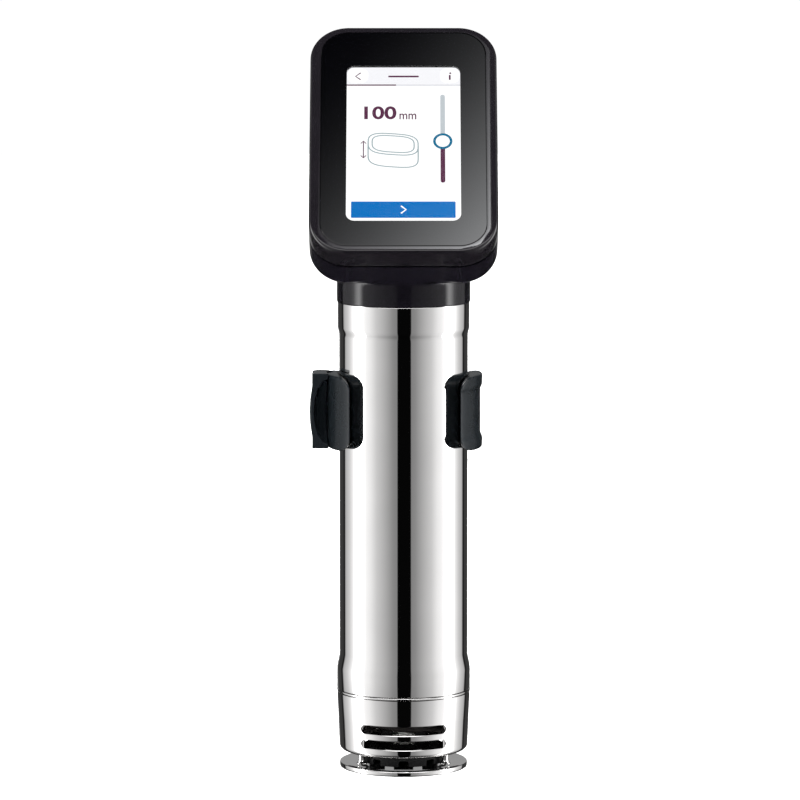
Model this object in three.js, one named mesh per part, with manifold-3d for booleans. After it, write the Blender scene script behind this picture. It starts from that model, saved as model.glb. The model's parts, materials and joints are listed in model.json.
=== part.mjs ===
// A sous vide circulator: a polished steel tube with a tilted touch screen head, a clamp
// that slides on the tube, and a slotted skirt on a base plate round the pump and heater.
// Millimetres, +Z up. The screen faces -Y, and the origin is the middle of the underside.

import * as THREE from 'three';
import { mergeVertices } from 'three/addons/utils/BufferGeometryUtils.js';
import Module from 'manifold-3d';

const wasm = await Module();
wasm.setup();

const degree = Math.PI / 180;
const gap = 0.3; // between two pieces that touch
const roundSegments = 36; // round a tube
const wheelSegments = 24; // round a motor, a seal or a knob
const smallSegments = 10; // round a screw or a pin
const past = 5; // how far a cutter runs beyond what it cuts

// ---- driving sizes ----

// steel tube
const tubeRadius = 32;
const tubeLength = 193.8;
const tubeWall = 0.8;
const lowerLandStep = 1.3;
const lowerLandHeight = 9.3;
const lowerShoulder = 9;
const upperLandStep = 0.75;
const upperLandHeight = 12.2;
const upperShoulder = 4.6;

// base plate, skirt and the ring above it
const plateThickness = 2.4;
const intakeHeight = 6.2;
const skirtHeight = 29.45;
const skirtWall = 0.8;
const skirtTaper = 1.1;
const skirtRoll = 2.6;
const flangeHeight = 2.8;
const flangeDrop = 0.75;
const flangeWidth = 3.6;
const plateStep = 0.1; // the plate and the skirt's top stay this far inside the tube's radii
const slotHeight = 5;
const slotHalfWidth = 21.3;
const slotCentres = [6.85, 14.2]; // above the skirt's lower edge
const postRadius = 1.5;
const postFootRadius = 2.6;
const postFootStep = 0.5;
const postFootHeight = 2.5;
const postInset = 9.2; // from the skirt's upper edge to a post's centre
const postAngles = [-60, 60, 180];
const guardWall = 1;
const guardClearance = 0.5; // between the posts' feet and the ring round the inlet
const guardRise = 1.8; // above the skirt's lower edge
const guardNotches = 9;
const guardNotchWidth = 5;
const guardNotchHeight = 3;
const seamRingHeight = 1.05;
const seamRingWidth = 1.9;

// heater, probes and pump
const coilTubeRadius = 3;
const coilInset = 11.6; // from the skirt's foot to the coil's outside
const coilLegGap = 0.8; // between the coil and the leg that goes back up
const coilTurns = 2;
const coilPitch = 7.6;
const coilAngle = 62;
const probeRadius = 2;
const levelProbeRadius = 1.4;
const probeInset = 6.1; // from the skirt's foot to a probe's centre
const cageWall = 1.2;
const cageClearance = 1.8;
const impellerClearance = 1;
const impellerHeight = 6;
const impellerBlades = 6;
const shaftRadius = 3;

// bulkhead, motor and fan
const bulkheadThickness = 6;
const bulkheadRise = 1.3; // above the tube's lower edge
const sealRadius = 6;
const ringSection = 2;
const bearingRadius = 8;
const bearingHeight = 5;
const tieRodRadius = 2;
const tieRodInset = 4.2;
const pumpColumn = 100; // from the bulkhead to the motor plate
const motorPlateThickness = 3;
const motorRadius = 22;
const motorLength = 54;
const motorShaftRadius = 2.5;
const couplerRadius = 7;
const couplerLength = 15;
const fanRadius = 24;
const fanHeight = 6;
const fanBlades = 7;

// head
const headTilt = 40; // of the screen from the vertical
const headWidth = 92.5;
const headLength = 136.5;
const headDepth = 31;
const headCorner = 19;
const headWall = 2.2;
const headBackEdge = 6;
const bezelDepth = 12;
const bezelEdge = 0.9;
const bezelRim = 5.5; // beside the glass
const bezelEndRim = 3.9; // above and below it
const glassThickness = 1.3;
const glassLedge = 3;
const ledgeThickness = 2.4;
const seamHeight = 1.2;
const sealInset = 1;
const sealWidth = 2.4;
const neckStep = 1.15; // outside the tube's plain middle
const neckFront = 9.3;
const neckOverlap = 2.6;
const spigotLength = 11;
const spigotWall = 2.2;

// head electronics
const panelThickness = 3.2;
const panelDrop = 0.7; // below the glass
const panelClearance = 7;
const boardThickness = 1.6;
const displayBoardDrop = 6.6;
const mainBoardRoom = 15; // from the main board's front to the head's back
const partClearance = 2.8; // between the parts on the main board and the housing
const boardClearance = 2;

// head screws, power button, vent and cord gland
const screwInset = 9.3;
const screwEndInset = 13;
const screwRadius = 1.5;
const screwHeadRadius = 2.9;
const screwHeadHeight = 2.2;
const bossRadius = 4;
const buttonRadius = 6;
const buttonProud = 0.9;
const buttonFlange = 1.5;
const buttonFromTop = 22;
const buttonTravel = 1.5;
const switchHeight = 3.5;
const ventWidth = 28;
const ventHeight = 26;
const ventRise = 42; // from the neck's lower edge to the vent's
const ventSlots = 5;
const glandRise = 25;
const glandRadius = 6.4;
const glandFlange = 9;
const glandBore = 3.6;

// clamp collar
const collarHeight = 37;
const collarRise = 121.3; // from the tube's lower edge to the collar's
const collarClearance = 0.5;
const collarWall = 5.5;
const collarTab = 1.2;
const recessDepth = 1;
const recessHeight = 23.4;
const leftEarEdge = 26.4;
const rightEarEdge = 28;
const earCorner = 6.5;
const earRear = 10;
const bandWall = 4;
const bandLift = 4;
const bandHeight = 25;

// clamp bracket, jaws, screw and lever
const bracketWidth = 28;
const bridgeThickness = 10;
const jawDrop = 40; // how far the jaws hang below the band
const jawThickness = 4;
const jawWidth = 32;
const jawPadThickness = 2;
const jawOpening = 24;
const legThickness = 8;
const legClearance = 3; // behind the pad when it is fully open
const bracketScrewX = 8.5;
const bracketScrewRise = 8;
const padTravel = 18;
const padRadius = 12;
const padThickness = 6;
const padFaceThickness = 2;
const spindleRadius = 3.5;
const spindleDrop = 22; // from the band's underside to the spindle
const knobRadius = 15;
const knobLength = 15;
const knobClearance = 1; // behind the leg when the pad is fully forward
const knobLobes = 6;
const bushRadius = 6;
const leverThickness = 7;
const leverBulge = 1.3;
const leverFront = 10;
const leverPivotOut = 2.7; // from the collar's outside to the pin
const leverPivotBack = 3.5;
const leverKnuckle = 4.6;
const leverPinRadius = 1.3;
const knuckleHeight = 16.4;

// ---- levels and radii that follow from them ----

const plateRadius = tubeRadius - plateStep;
const skirtBottom = plateThickness + intakeHeight;
const skirtTop = skirtBottom + skirtHeight;
const skirtRadius = tubeRadius + lowerLandStep - plateStep;
const skirtFootRadius = skirtRadius - skirtTaper;
const seamRingBottom = skirtTop + gap;
const tubeBottom = seamRingBottom + seamRingHeight + gap;
const tubeTop = tubeBottom + tubeLength;
const lowerLandRadius = tubeRadius + lowerLandStep;
const upperLandRadius = tubeRadius + upperLandStep;
const lowerBore = lowerLandRadius - tubeWall;
const postCircle = skirtRadius - postInset;

const coilRadius = skirtFootRadius - coilInset - coilTubeRadius;
const cageRadius = coilRadius - coilTubeRadius - cageClearance;
const impellerRadius = cageRadius - cageWall - impellerClearance;
const probeCircle = skirtFootRadius - probeInset;

const bulkheadBottom = tubeBottom + bulkheadRise;
const bulkheadTop = bulkheadBottom + bulkheadThickness;
const motorPlateBottom = bulkheadTop + pumpColumn;
const motorPlateTop = motorPlateBottom + motorPlateThickness;
const motorTop = motorPlateTop + gap + motorLength;
const tieRodCircle = tubeRadius - tubeWall - tieRodInset;

const tilt = headTilt * degree;
const neckRadius = tubeRadius + neckStep;
const neckBottom = tubeTop + gap;
const headY = -(neckRadius - neckOverlap) - headDepth * Math.cos(tilt);
const headZ = neckBottom + neckFront + headDepth * Math.sin(tilt);
const headMiddle = headLength / 2;
const innerHeadWidth = headWidth - 2 * headWall;
const innerHeadLength = headLength - 2 * headWall;
const innerHeadCorner = headCorner - headWall;
const housingFront = -(bezelDepth + seamHeight);
const screwX = headWidth / 2 - screwInset;
const screwRows = [screwEndInset, headLength - screwEndInset];
const glassWidth = headWidth - 2 * bezelRim;
const glassLength = headLength - 2 * bezelEndRim;
const glassCorner = headCorner - bezelRim;
const innerGlassWidth = glassWidth - 2 * glassLedge;
const innerGlassLength = glassLength - 2 * glassLedge;
const boardWidth = 2 * (screwX - bossRadius - boardClearance);
const boardLength = headLength - 2 * (screwEndInset + bossRadius + boardClearance);
const mainBoardFront = mainBoardRoom - headDepth;
const mainBoardBack = mainBoardFront - boardThickness;
const partHeight = headDepth + mainBoardBack - headWall - partClearance;

const collarBottom = tubeBottom + collarRise;
const collarTop = collarBottom + collarHeight;
const collarBore = tubeRadius + collarClearance;
const collarRadius = collarBore + collarWall;
const bandRadius = collarBore + bandWall;
const bandBottom = collarBottom + bandLift;
const bandTop = bandBottom + bandHeight;
const jawBottom = bandBottom - jawDrop;
const jawFront = bandRadius + gap;
const jawBack = jawFront + jawThickness;
const jawPadBack = jawBack + gap + jawPadThickness;
const padFront = jawPadBack + jawOpening;
const padBack = padFront + padFaceThickness + gap + padThickness;
const legFront = padBack + legClearance;
const legBack = legFront + legThickness;
const knobFront = legBack + padTravel + knobClearance;
const spindleZ = bandBottom - spindleDrop;
const bracketScrewPlaces = [-bracketScrewX, bracketScrewX];
const bracketScrewZ = bandBottom + bracketScrewRise;
const leverMiddle = (collarBottom + collarTop) / 2;
const leverPinX = -(collarRadius + leverPivotOut);
const leverOuterX = -(collarRadius + gap + leverThickness);

// ---- making and cutting solids ----

function solidOf(geometry) {
  const bare = geometry.clone();
  bare.deleteAttribute('normal');
  bare.deleteAttribute('uv');
  const merged = mergeVertices(bare, 1e-4);
  const corners = Array.from(merged.index.array);
  const triangles = [];
  for (let i = 0; i < corners.length; i += 3) {
    const triangle = corners.slice(i, i + 3);
    if (new Set(triangle).size === 3) triangles.push(...triangle);
  }
  return new wasm.Manifold(new wasm.Mesh({
    numProp: 3,
    vertProperties: new Float32Array(merged.attributes.position.array),
    triVerts: new Uint32Array(triangles),
  }));
}

function geometryOf(solid) {
  const mesh = solid.getMesh();
  const geometry = new THREE.BufferGeometry();
  const points = new Float32Array(mesh.vertProperties);
  geometry.setAttribute('position', new THREE.BufferAttribute(points, 3));
  geometry.setIndex(new THREE.BufferAttribute(new Uint32Array(mesh.triVerts), 1));
  geometry.computeVertexNormals();
  return geometry;
}

function join(...geometries) {
  return geometryOf(geometries.map(solidOf).reduce((whole, piece) => whole.add(piece)));
}

function cut(geometry, ...tools) {
  const blank = solidOf(geometry);
  return geometryOf(tools.map(solidOf).reduce((whole, tool) => whole.subtract(tool), blank));
}

function common(first, second) {
  return geometryOf(solidOf(first).intersect(solidOf(second)));
}

// a profile of [radius, z] points turned about the Z axis
function turned(profile, segments = roundSegments) {
  const points = profile.map(([radius, z]) => new THREE.Vector2(radius, z));
  if (THREE.ShapeUtils.area(points) < 0) points.reverse();
  return new THREE.LatheGeometry(points, segments).rotateX(Math.PI / 2);
}

function disc(radius, bottom, top, segments) {
  return turned([[0, bottom], [radius, bottom], [radius, top], [0, top]], segments);
}

function ring(inner, outer, bottom, top, segments) {
  const profile = [[inner, bottom], [outer, bottom], [outer, top], [inner, top], [inner, bottom]];
  return turned(profile, segments);
}

function block(xLow, xHigh, yLow, yHigh, zLow, zHigh) {
  const box = new THREE.BoxGeometry(xHigh - xLow, yHigh - yLow, zHigh - zLow);
  return box.translate((xLow + xHigh) / 2, (yLow + yHigh) / 2, (zLow + zHigh) / 2);
}

function roundedRectangle(width, height, radius) {
  const x = width / 2 - radius;
  const y = height / 2 - radius;
  const shape = new THREE.Shape();
  shape.absarc(x, -y, radius, -Math.PI / 2, 0);
  shape.absarc(x, y, radius, 0, Math.PI / 2);
  shape.absarc(-x, y, radius, Math.PI / 2, Math.PI);
  shape.absarc(-x, -y, radius, Math.PI, 1.5 * Math.PI);
  return shape;
}

// a rounded plate between two levels of the head, its edges rounded by an amount
function plate(width, length, corner, back, front, edge = 0) {
  const shape = roundedRectangle(width, length, corner);
  const bevel = { bevelSize: edge, bevelThickness: edge, bevelOffset: -edge, bevelSegments: 2 };
  const options = { depth: front - back - 2 * edge, curveSegments: 5, bevelEnabled: edge > 0, ...bevel };
  return new THREE.ExtrudeGeometry(shape, options).translate(0, headMiddle, back + edge);
}

// an outline in X and Z run along Y
function extrudedAlongY(shape, yLow, yHigh) {
  const options = { depth: yHigh - yLow, bevelEnabled: false, curveSegments: 4 };
  return new THREE.ExtrudeGeometry(shape, options).rotateX(Math.PI / 2).translate(0, yHigh, 0);
}

// turns a piece made about Z so that it lies along Y, at a height
function alongY(geometry, z) {
  return geometry.rotateX(-Math.PI / 2).translate(0, 0, z);
}

// a point on a circle, its angle in degrees from the front towards +X
function around(radius, angle) {
  return [radius * Math.sin(angle * degree), -radius * Math.cos(angle * degree)];
}

// ---- materials ----

function finish(color, roughness, metalness = 0) {
  return new THREE.MeshStandardMaterial({ color, roughness, metalness });
}

const polishedSteel = finish(0xc8c6c4, 0.08, 1);
const plainSteel = finish(0x9a9a9c, 0.35, 1);
const brass = finish(0xb08d4a, 0.3, 1);
const glossBlack = finish(0x0b0a0b, 0.1);
const satinBlack = finish(0x141216, 0.35);
const clampBlack = finish(0x1c2023, 0.45);
const glass = finish(0x16181c, 0.03);
const screenWhite = finish(0xf4f6f8, 0.4);
const boardGreen = finish(0x1d5a35, 0.6);
const partBlack = finish(0x222224, 0.5);
const rubber = finish(0x18181a, 0.85);
const aluminium = finish(0xb4b6b8, 0.4, 1);
const whitePlastic = finish(0xd8d8d4, 0.5);

const circulator = new THREE.Group();
const head = new THREE.Group();
head.position.set(0, headY, headZ);
head.rotation.x = Math.PI / 2 - tilt;
head.updateMatrixWorld();
circulator.add(head);
const intoHead = head.matrixWorld.clone().invert();

function add(name, geometry, material, parent = circulator) {
  const mesh = new THREE.Mesh(geometry, material);
  mesh.name = name;
  parent.add(mesh);
  return mesh;
}

// ---- base plate, posts and skirt ----

function makeBasePlate() {
  const edge = 0.4;
  return turned([
    [0, 0], [plateRadius - edge, 0], [plateRadius, edge], [plateRadius, plateThickness - edge],
    [plateRadius - edge, plateThickness], [0, plateThickness],
  ]);
}

function makePost() {
  const foot = plateThickness + gap;
  const top = skirtTop - flangeDrop - flangeHeight - gap;
  return turned([
    [0, foot], [postFootRadius, foot], [postFootRadius, foot + postFootStep],
    [postRadius, foot + postFootHeight],
    [postRadius, top], [0, top],
  ], smallSegments);
}

function makeSkirt() {
  const rollTop = skirtBottom + skirtRoll;
  const flangeTop = skirtTop - flangeDrop;
  const flangeBottom = flangeTop - flangeHeight;
  const flangeInner = skirtRadius - skirtWall - flangeWidth;
  const wall = [[skirtFootRadius - skirtRoll, skirtBottom]];
  for (const angle of [30, 60, 90]) {
    const inset = skirtRoll * (1 - Math.sin(angle * degree));
    wall.push([skirtFootRadius - inset, rollTop - skirtRoll * Math.cos(angle * degree)]);
  }
  wall.push([skirtRadius, skirtTop], [skirtRadius - skirtWall, skirtTop]);
  wall.push([skirtRadius - skirtWall, flangeTop], [flangeInner, flangeTop], [flangeInner, flangeBottom]);
  wall.push([skirtRadius - skirtWall, flangeBottom], [skirtFootRadius - skirtWall, rollTop]);
  wall.push([skirtFootRadius - skirtRoll, skirtBottom + skirtWall], wall[0]);
  const shell = turned(wall);
  const lugs = postAngles.flatMap((angle) => {
    const [x, y] = around(postCircle, angle);
    const lug = disc(postRadius * 2, flangeBottom, flangeTop, smallSegments).translate(x, y, 0);
    const half = postRadius * 2;
    const web = block(-half, half, -flangeInner - 1, -postCircle, flangeBottom, flangeTop);
    return [lug, web.rotateZ(angle * degree)];
  });
  const slots = slotCentres.map((rise) => {
    const length = 2 * slotHalfWidth;
    const shape = roundedRectangle(length, slotHeight, slotHeight / 2 - 0.01);
    return extrudedAlongY(shape, -tubeRadius - past, 0).translate(0, 0, skirtBottom + rise);
  });
  return cut(join(shell, ...lugs), ...slots);
}

add('base_plate', makeBasePlate(), polishedSteel);

// a low ring on the base plate that keeps things out of the pump's inlet; notches let water in
function makeInletGuard() {
  const outer = postCircle - postFootRadius - guardClearance;
  const low = plateThickness + gap;
  const high = skirtBottom + guardRise;
  const wall = ring(outer - guardWall, outer, low, high, wheelSegments);
  const half = guardNotchWidth / 2;
  const notches = Array.from({ length: guardNotches }, (_, index) => {
    const notch = block(-half, half, 0, outer + past, low - past, low + guardNotchHeight);
    return notch.rotateZ((index + 0.5) * 360 / guardNotches * degree);
  });
  return cut(wall, ...notches);
}
add('inlet_guard', makeInletGuard(), partBlack);
postAngles.forEach((angle, index) => {
  const [x, y] = around(postCircle, angle);
  add(`base_post_${index + 1}`, makePost(), polishedSteel).position.set(x, y, 0);
});
add('skirt', makeSkirt(), polishedSteel);
const seamRing = ring(
  lowerLandRadius - seamRingWidth, lowerLandRadius + 0.05, seamRingBottom, seamRingBottom + seamRingHeight,
);
add('seam_ring', seamRing, polishedSteel);

// ---- steel tube ----

function makeTube() {
  const lowerEnd = tubeBottom + lowerLandHeight;
  const upperStart = tubeTop - upperLandHeight;
  const outside = [
    [lowerLandRadius, tubeBottom], [lowerLandRadius, lowerEnd], [tubeRadius, lowerEnd + lowerShoulder],
    [tubeRadius, upperStart - upperShoulder], [upperLandRadius, upperStart], [upperLandRadius, tubeTop],
  ];
  const inside = outside.map(([radius, z]) => [radius - tubeWall, z]).reverse();
  return turned([...outside, ...inside, outside[0]]);
}

add('steel_tube', makeTube(), polishedSteel);

// ---- bulkhead, seals, heater and probes ----

function makeBulkhead() {
  const radius = lowerBore - gap;
  const groove = radius - ringSection - 2 * gap;
  const grooveHalf = ringSection / 2 + gap;
  const middle = (bulkheadBottom + bulkheadTop) / 2;
  return turned([
    [sealRadius + gap, bulkheadBottom], [radius, bulkheadBottom], [radius, middle - grooveHalf],
    [groove, middle - grooveHalf], [groove, middle + grooveHalf], [radius, middle + grooveHalf],
    [radius, bulkheadTop], [sealRadius + gap, bulkheadTop], [sealRadius + gap, bulkheadBottom],
  ], wheelSegments);
}

function makeSealingRing() {
  const section = ringSection / 2;
  const middle = lowerBore - 2 * gap - section;
  const profile = [];
  for (let step = 0; step < 6; step += 1) {
    const angle = step * 60 * degree;
    profile.push([middle + section * Math.cos(angle), section * Math.sin(angle)]);
  }
  const height = (bulkheadBottom + bulkheadTop) / 2;
  return turned([...profile, profile[0]], wheelSegments).translate(0, 0, height);
}

// two turns that start under the bulkhead and go back up to it beside the coil
function makeHeaterCoil() {
  const top = bulkheadBottom - gap;
  const firstTurn = top - 8;
  const legCircle = coilRadius + 2 * coilTubeRadius + coilLegGap;
  const points = [];
  const place = (radius, angle, z) => points.push(new THREE.Vector3(...around(radius, angle), z));
  place(coilRadius, coilAngle, top);
  place(coilRadius, coilAngle, top - 4);
  const steps = 8 * coilTurns;
  for (let step = 1; step <= steps; step += 1) {
    const turn = coilTurns * step / steps;
    place(coilRadius, coilAngle + 360 * turn, firstTurn - coilPitch * (turn - 0.5));
  }
  const last = coilAngle + 360 * coilTurns;
  const lowest = firstTurn - coilPitch * (coilTurns - 0.5);
  place((coilRadius + legCircle) / 2, last + 35, lowest - 1.5);
  place(legCircle, last + 68, lowest + 2.5);
  place(legCircle, last + 75, lowest + 10);
  place(legCircle, last + 75, top - 5);
  place(legCircle, last + 75, top);
  const section = new THREE.Shape();
  section.absarc(0, 0, coilTubeRadius, 0, 2 * Math.PI);
  const path = new THREE.CatmullRomCurve3(points);
  return new THREE.ExtrudeGeometry(section, { steps: 60, curveSegments: 4, extrudePath: path });
}

function makeProbe(radius, bottom) {
  const top = bulkheadBottom - gap;
  return turned([
    [0, bottom], [radius * 0.6, bottom + radius * 0.2], [radius, bottom + radius], [radius, top], [0, top],
  ], smallSegments);
}

add('bulkhead', makeBulkhead(), plainSteel);
add('bulkhead_seal', makeSealingRing(), rubber);
const shaftSeal = ring(shaftRadius + gap, sealRadius, bulkheadBottom + gap, bulkheadTop - gap, 16);
add('shaft_seal', shaftSeal, rubber);
add('heater_coil', makeHeaterCoil(), plainSteel);
const probes = [
  { name: 'temperature_probe', radius: probeRadius, angle: 157, bottom: skirtBottom + 3.5 },
  { name: 'level_probe_low', radius: levelProbeRadius, angle: -150, bottom: skirtBottom + 5 },
  { name: 'level_probe_high', radius: levelProbeRadius, angle: -130, bottom: skirtBottom + 15 },
];
for (const probe of probes) {
  const [x, y] = around(probeCircle, probe.angle);
  add(probe.name, makeProbe(probe.radius, probe.bottom), plainSteel).position.set(x, y, 0);
}

// ---- pump, shaft, motor and fan ----

function makeCage() {
  const top = bulkheadBottom - gap;
  const bottom = skirtBottom + 0.8;
  const inner = cageRadius - cageWall;
  const wall = turned([
    [inner, bottom], [cageRadius, bottom], [cageRadius, top - 2], [cageRadius + 1, top - 2],
    [cageRadius + 1, top], [inner, top], [inner, bottom],
  ], wheelSegments);
  const windowHalf = cageRadius * 0.45;
  const reach = cageRadius + past;
  const windows = [0, 90].map((angle) => {
    const window = block(-windowHalf, windowHalf, -reach, reach, bottom + 3, top - 8);
    return window.rotateZ(angle * degree);
  });
  return cut(wall, ...windows);
}

// a bored hub with straight blades; the twist leans them
function makeWheel(bore, hub, radius, height, blades, thickness, twist) {
  const pieces = [disc(hub, 0, height, 16)];
  for (let index = 0; index < blades; index += 1) {
    const blade = new THREE.BoxGeometry(radius - hub + 1, thickness, height * 0.8);
    blade.rotateX(twist * degree).translate((radius + hub - 1) / 2, 0, height / 2);
    pieces.push(blade.rotateZ(index * 2 * Math.PI / blades));
  }
  const tall = [-past, height + past];
  const bored = cut(join(...pieces), disc(bore, ...tall, 16));
  return common(bored, disc(radius, -1, height + 1, wheelSegments));
}

const shaftBottom = skirtBottom + 2;
const couplerBottom = motorPlateBottom - couplerLength - 2;
const shaftMeeting = couplerBottom + couplerLength / 2;
const motorShaftTop = motorTop + fanHeight + 6;
const impellerWheel = makeWheel(
  shaftRadius + gap, shaftRadius + 2.2, impellerRadius, impellerHeight, impellerBlades, 1.2, 0,
);
const fanWheel = makeWheel(
  motorShaftRadius + gap, motorShaftRadius + 4.5, fanRadius, fanHeight, fanBlades, 1.6, 55,
);
add('pump_cage', makeCage(), partBlack);
add('impeller', impellerWheel, whitePlastic).position.z = shaftBottom + 0.8;
add('pump_shaft', disc(shaftRadius, shaftBottom, shaftMeeting - gap, 16), plainSteel);
const coupler = ring(shaftRadius + gap, couplerRadius, couplerBottom, couplerBottom + couplerLength, 16);
add('shaft_coupler', coupler, aluminium);
add('motor_shaft', disc(motorShaftRadius, shaftMeeting + gap, motorShaftTop, 16), plainSteel);
add('cooling_fan', fanWheel, partBlack).position.z = motorTop + 3;

const lowerBearingTop = bulkheadTop + gap + bearingHeight;
const lowerBearing = ring(shaftRadius + gap, bearingRadius, bulkheadTop + gap, lowerBearingTop, 16);
add('lower_bearing', lowerBearing, plainSteel);
const upperBearing = ring(motorShaftRadius + gap, bearingRadius, motorPlateBottom, motorPlateTop - gap, 16);
add('upper_bearing', upperBearing, plainSteel);

const motorPlateRadius = tubeRadius - tubeWall - gap;
const motorPlate = ring(
  bearingRadius + gap, motorPlateRadius, motorPlateBottom, motorPlateTop, wheelSegments,
);
add('motor_plate', motorPlate, aluminium);
const motorBody = turned([
  [motorShaftRadius + 0.6, motorPlateTop + gap], [motorRadius, motorPlateTop + gap],
  [motorRadius, motorTop - 4], [motorRadius * 0.6, motorTop - 3], [motorRadius * 0.6, motorTop],
  [motorShaftRadius + 0.6, motorTop], [motorShaftRadius + 0.6, motorPlateTop + gap],
], wheelSegments);
add('motor', motorBody, plainSteel);
for (const index of [0, 1, 2]) {
  const [x, y] = around(tieRodCircle, index * 120);
  const rod = disc(tieRodRadius, bulkheadTop + gap, motorPlateBottom - gap, smallSegments);
  add(`tie_rod_${index + 1}`, rod, plainSteel).position.set(x, y, 0);
}

// ---- head: bezel, glass, display and boards ----

const bossPlaces = screwRows.flatMap((y) => [[-screwX, y], [screwX, y]]);

function makeBezel() {
  const recessFloor = -(glassThickness + gap);
  const ledgeBack = recessFloor - ledgeThickness;
  const blank = plate(headWidth, headLength, headCorner, -bezelDepth - past, 0, bezelEdge);
  const wide = headWidth + past;
  const behind = block(-wide, wide, -past, headLength + past, -bezelDepth - 2 * past, -bezelDepth);
  const recess = plate(glassWidth + 2 * gap, glassLength + 2 * gap, glassCorner + gap, recessFloor, past);
  const corner = glassCorner - glassLedge;
  const window = plate(innerGlassWidth, innerGlassLength, corner, ledgeBack - past, past);
  const hollow = plate(innerHeadWidth, innerHeadLength, innerHeadCorner, -bezelDepth - past, ledgeBack);
  const boss = disc(bossRadius, -bezelDepth, ledgeBack + 0.5, smallSegments);
  const bosses = bossPlaces.map(([x, y]) => boss.clone().translate(x, y, 0));
  const holes = bossPlaces.map(([x, y]) => {
    return disc(screwRadius + gap, -bezelDepth - past, ledgeBack - 1, smallSegments).translate(x, y, 0);
  });
  return cut(join(cut(blank, behind, recess, window, hollow), ...bosses), ...holes);
}

function makeHeadSeal() {
  const back = -bezelDepth - seamHeight + gap;
  const front = -bezelDepth - gap;
  const inner = 2 * (sealInset + sealWidth);
  const width = headWidth - 2 * sealInset;
  const length = headLength - 2 * sealInset;
  const outline = plate(width, length, headCorner - sealInset, back, front);
  const corner = headCorner - sealInset - sealWidth;
  return cut(outline, plate(headWidth - inner, headLength - inner, corner, back - past, front + past));
}

const panelFront = -(glassThickness + panelDrop);
const panelWidth = innerGlassWidth - 2 * panelClearance;
const panelLength = innerGlassLength - 2 * panelClearance;
add('bezel', makeBezel(), glossBlack, head);
add('cover_glass', plate(glassWidth, glassLength, glassCorner, -glassThickness, 0), glass, head);
const displayPanel = plate(panelWidth, panelLength, 1, panelFront - panelThickness, panelFront);
add('display_panel', displayPanel, screenWhite, head);
const displayBoard = plate(
  boardWidth, boardLength, 2, -(displayBoardDrop + boardThickness), -displayBoardDrop,
);
add('display_board', displayBoard, boardGreen, head);
add('main_board', plate(boardWidth, boardLength, 2, mainBoardBack, mainBoardFront), boardGreen, head);
add('head_seal', makeHeadSeal(), rubber, head);

// heat sink, relay and capacitor on the back of the main board
function makeHeatSink(width, length, height) {
  const fins = 6;
  const base = 2;
  const pieces = [block(-width / 2, width / 2, -length / 2, length / 2, -base, 0)];
  for (let index = 0; index < fins; index += 1) {
    const x = -width / 2 + (width - 1.2) * index / (fins - 1);
    pieces.push(block(x, x + 1.2, -length / 2, length / 2, -height, -base / 2));
  }
  return join(...pieces);
}

const partBack = mainBoardBack - gap;
const heatSink = add('heat_sink', makeHeatSink(30, 34, partHeight), aluminium, head);
heatSink.position.set(-14, headMiddle - 18, partBack);
const relay = add('relay', block(-8, 8, -10, 10, -partHeight, 0), partBlack, head);
relay.position.set(18, headMiddle - 22, partBack);
const capacitor = add('capacitor', disc(6, -partHeight, 0, 16), partBlack, head);
capacitor.position.set(18, headMiddle + 8, partBack);

// ---- head: rear housing with the neck ----

function makeRearHousing() {
  const front = housingFront;
  const back = -headDepth;
  const wide = headWidth + past;
  const ahead = block(-wide, wide, -headLength, 2 * headLength, front, front + 4 * headDepth);
  const above = block(-wide, wide, headLength - headWall, 3 * headLength, -4 * headDepth, front + past);
  const beyond = front + 2 * headBackEdge;
  const slab = cut(plate(headWidth, headLength, headCorner, back, beyond, headBackEdge), ahead);
  const innerEdge = headBackEdge - headWall;
  const hollow = plate(
    innerHeadWidth, innerHeadLength, innerHeadCorner, back + headWall, beyond, innerEdge,
  );
  const spigotBottom = neckBottom - spigotLength;
  const spigotRadius = upperLandRadius - tubeWall - gap;
  const neckTop = headZ + headLength;
  const neck = turned([
    [0, spigotBottom], [spigotRadius, spigotBottom], [spigotRadius, neckBottom], [neckRadius, neckBottom],
    [neckRadius, neckTop], [0, neckTop],
  ]).applyMatrix4(intoHead);
  const bore = turned([
    [0, spigotBottom - past], [spigotRadius - spigotWall, spigotBottom - past],
    [spigotRadius - spigotWall, neckBottom + 2], [neckRadius - headWall, neckBottom + 4],
    [neckRadius - headWall, neckTop], [0, neckTop],
  ]).applyMatrix4(intoHead);
  const shell = cut(join(slab, cut(neck, ahead, above)), hollow, cut(bore, ahead, above));
  const boss = disc(bossRadius, back + 1, front, smallSegments);
  const bosses = bossPlaces.map(([x, y]) => boss.clone().translate(x, y, 0));
  const counterbore = screwHeadHeight + 1;
  const hole = turned([
    [0, back - past], [screwHeadRadius + 0.5, back - past], [screwHeadRadius + 0.5, back + counterbore],
    [screwRadius + gap, back + counterbore], [screwRadius + gap, front + past], [0, front + past],
  ], smallSegments);
  const holes = bossPlaces.map(([x, y]) => hole.clone().translate(x, y, 0));
  const buttonHole = disc(buttonRadius + gap, back - past, back + headWall + 1, 20);
  buttonHole.translate(0, headLength - buttonFromTop, 0);
  const ventHalf = ventWidth / 2;
  const ventBottom = neckBottom + ventRise;
  const reach = neckRadius + past;
  const ventTop = ventBottom + ventHeight;
  const ventWindow = block(-ventHalf, ventHalf, neckRadius / 2, reach, ventBottom, ventTop);
  const glandHole = alongY(disc(glandRadius + gap, neckRadius / 2, reach, 20), neckBottom + glandRise);
  const openings = [ventWindow, glandHole].map((tool) => tool.applyMatrix4(intoHead));
  return cut(join(shell, ...bosses), ...holes, buttonHole, ...openings);
}

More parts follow.
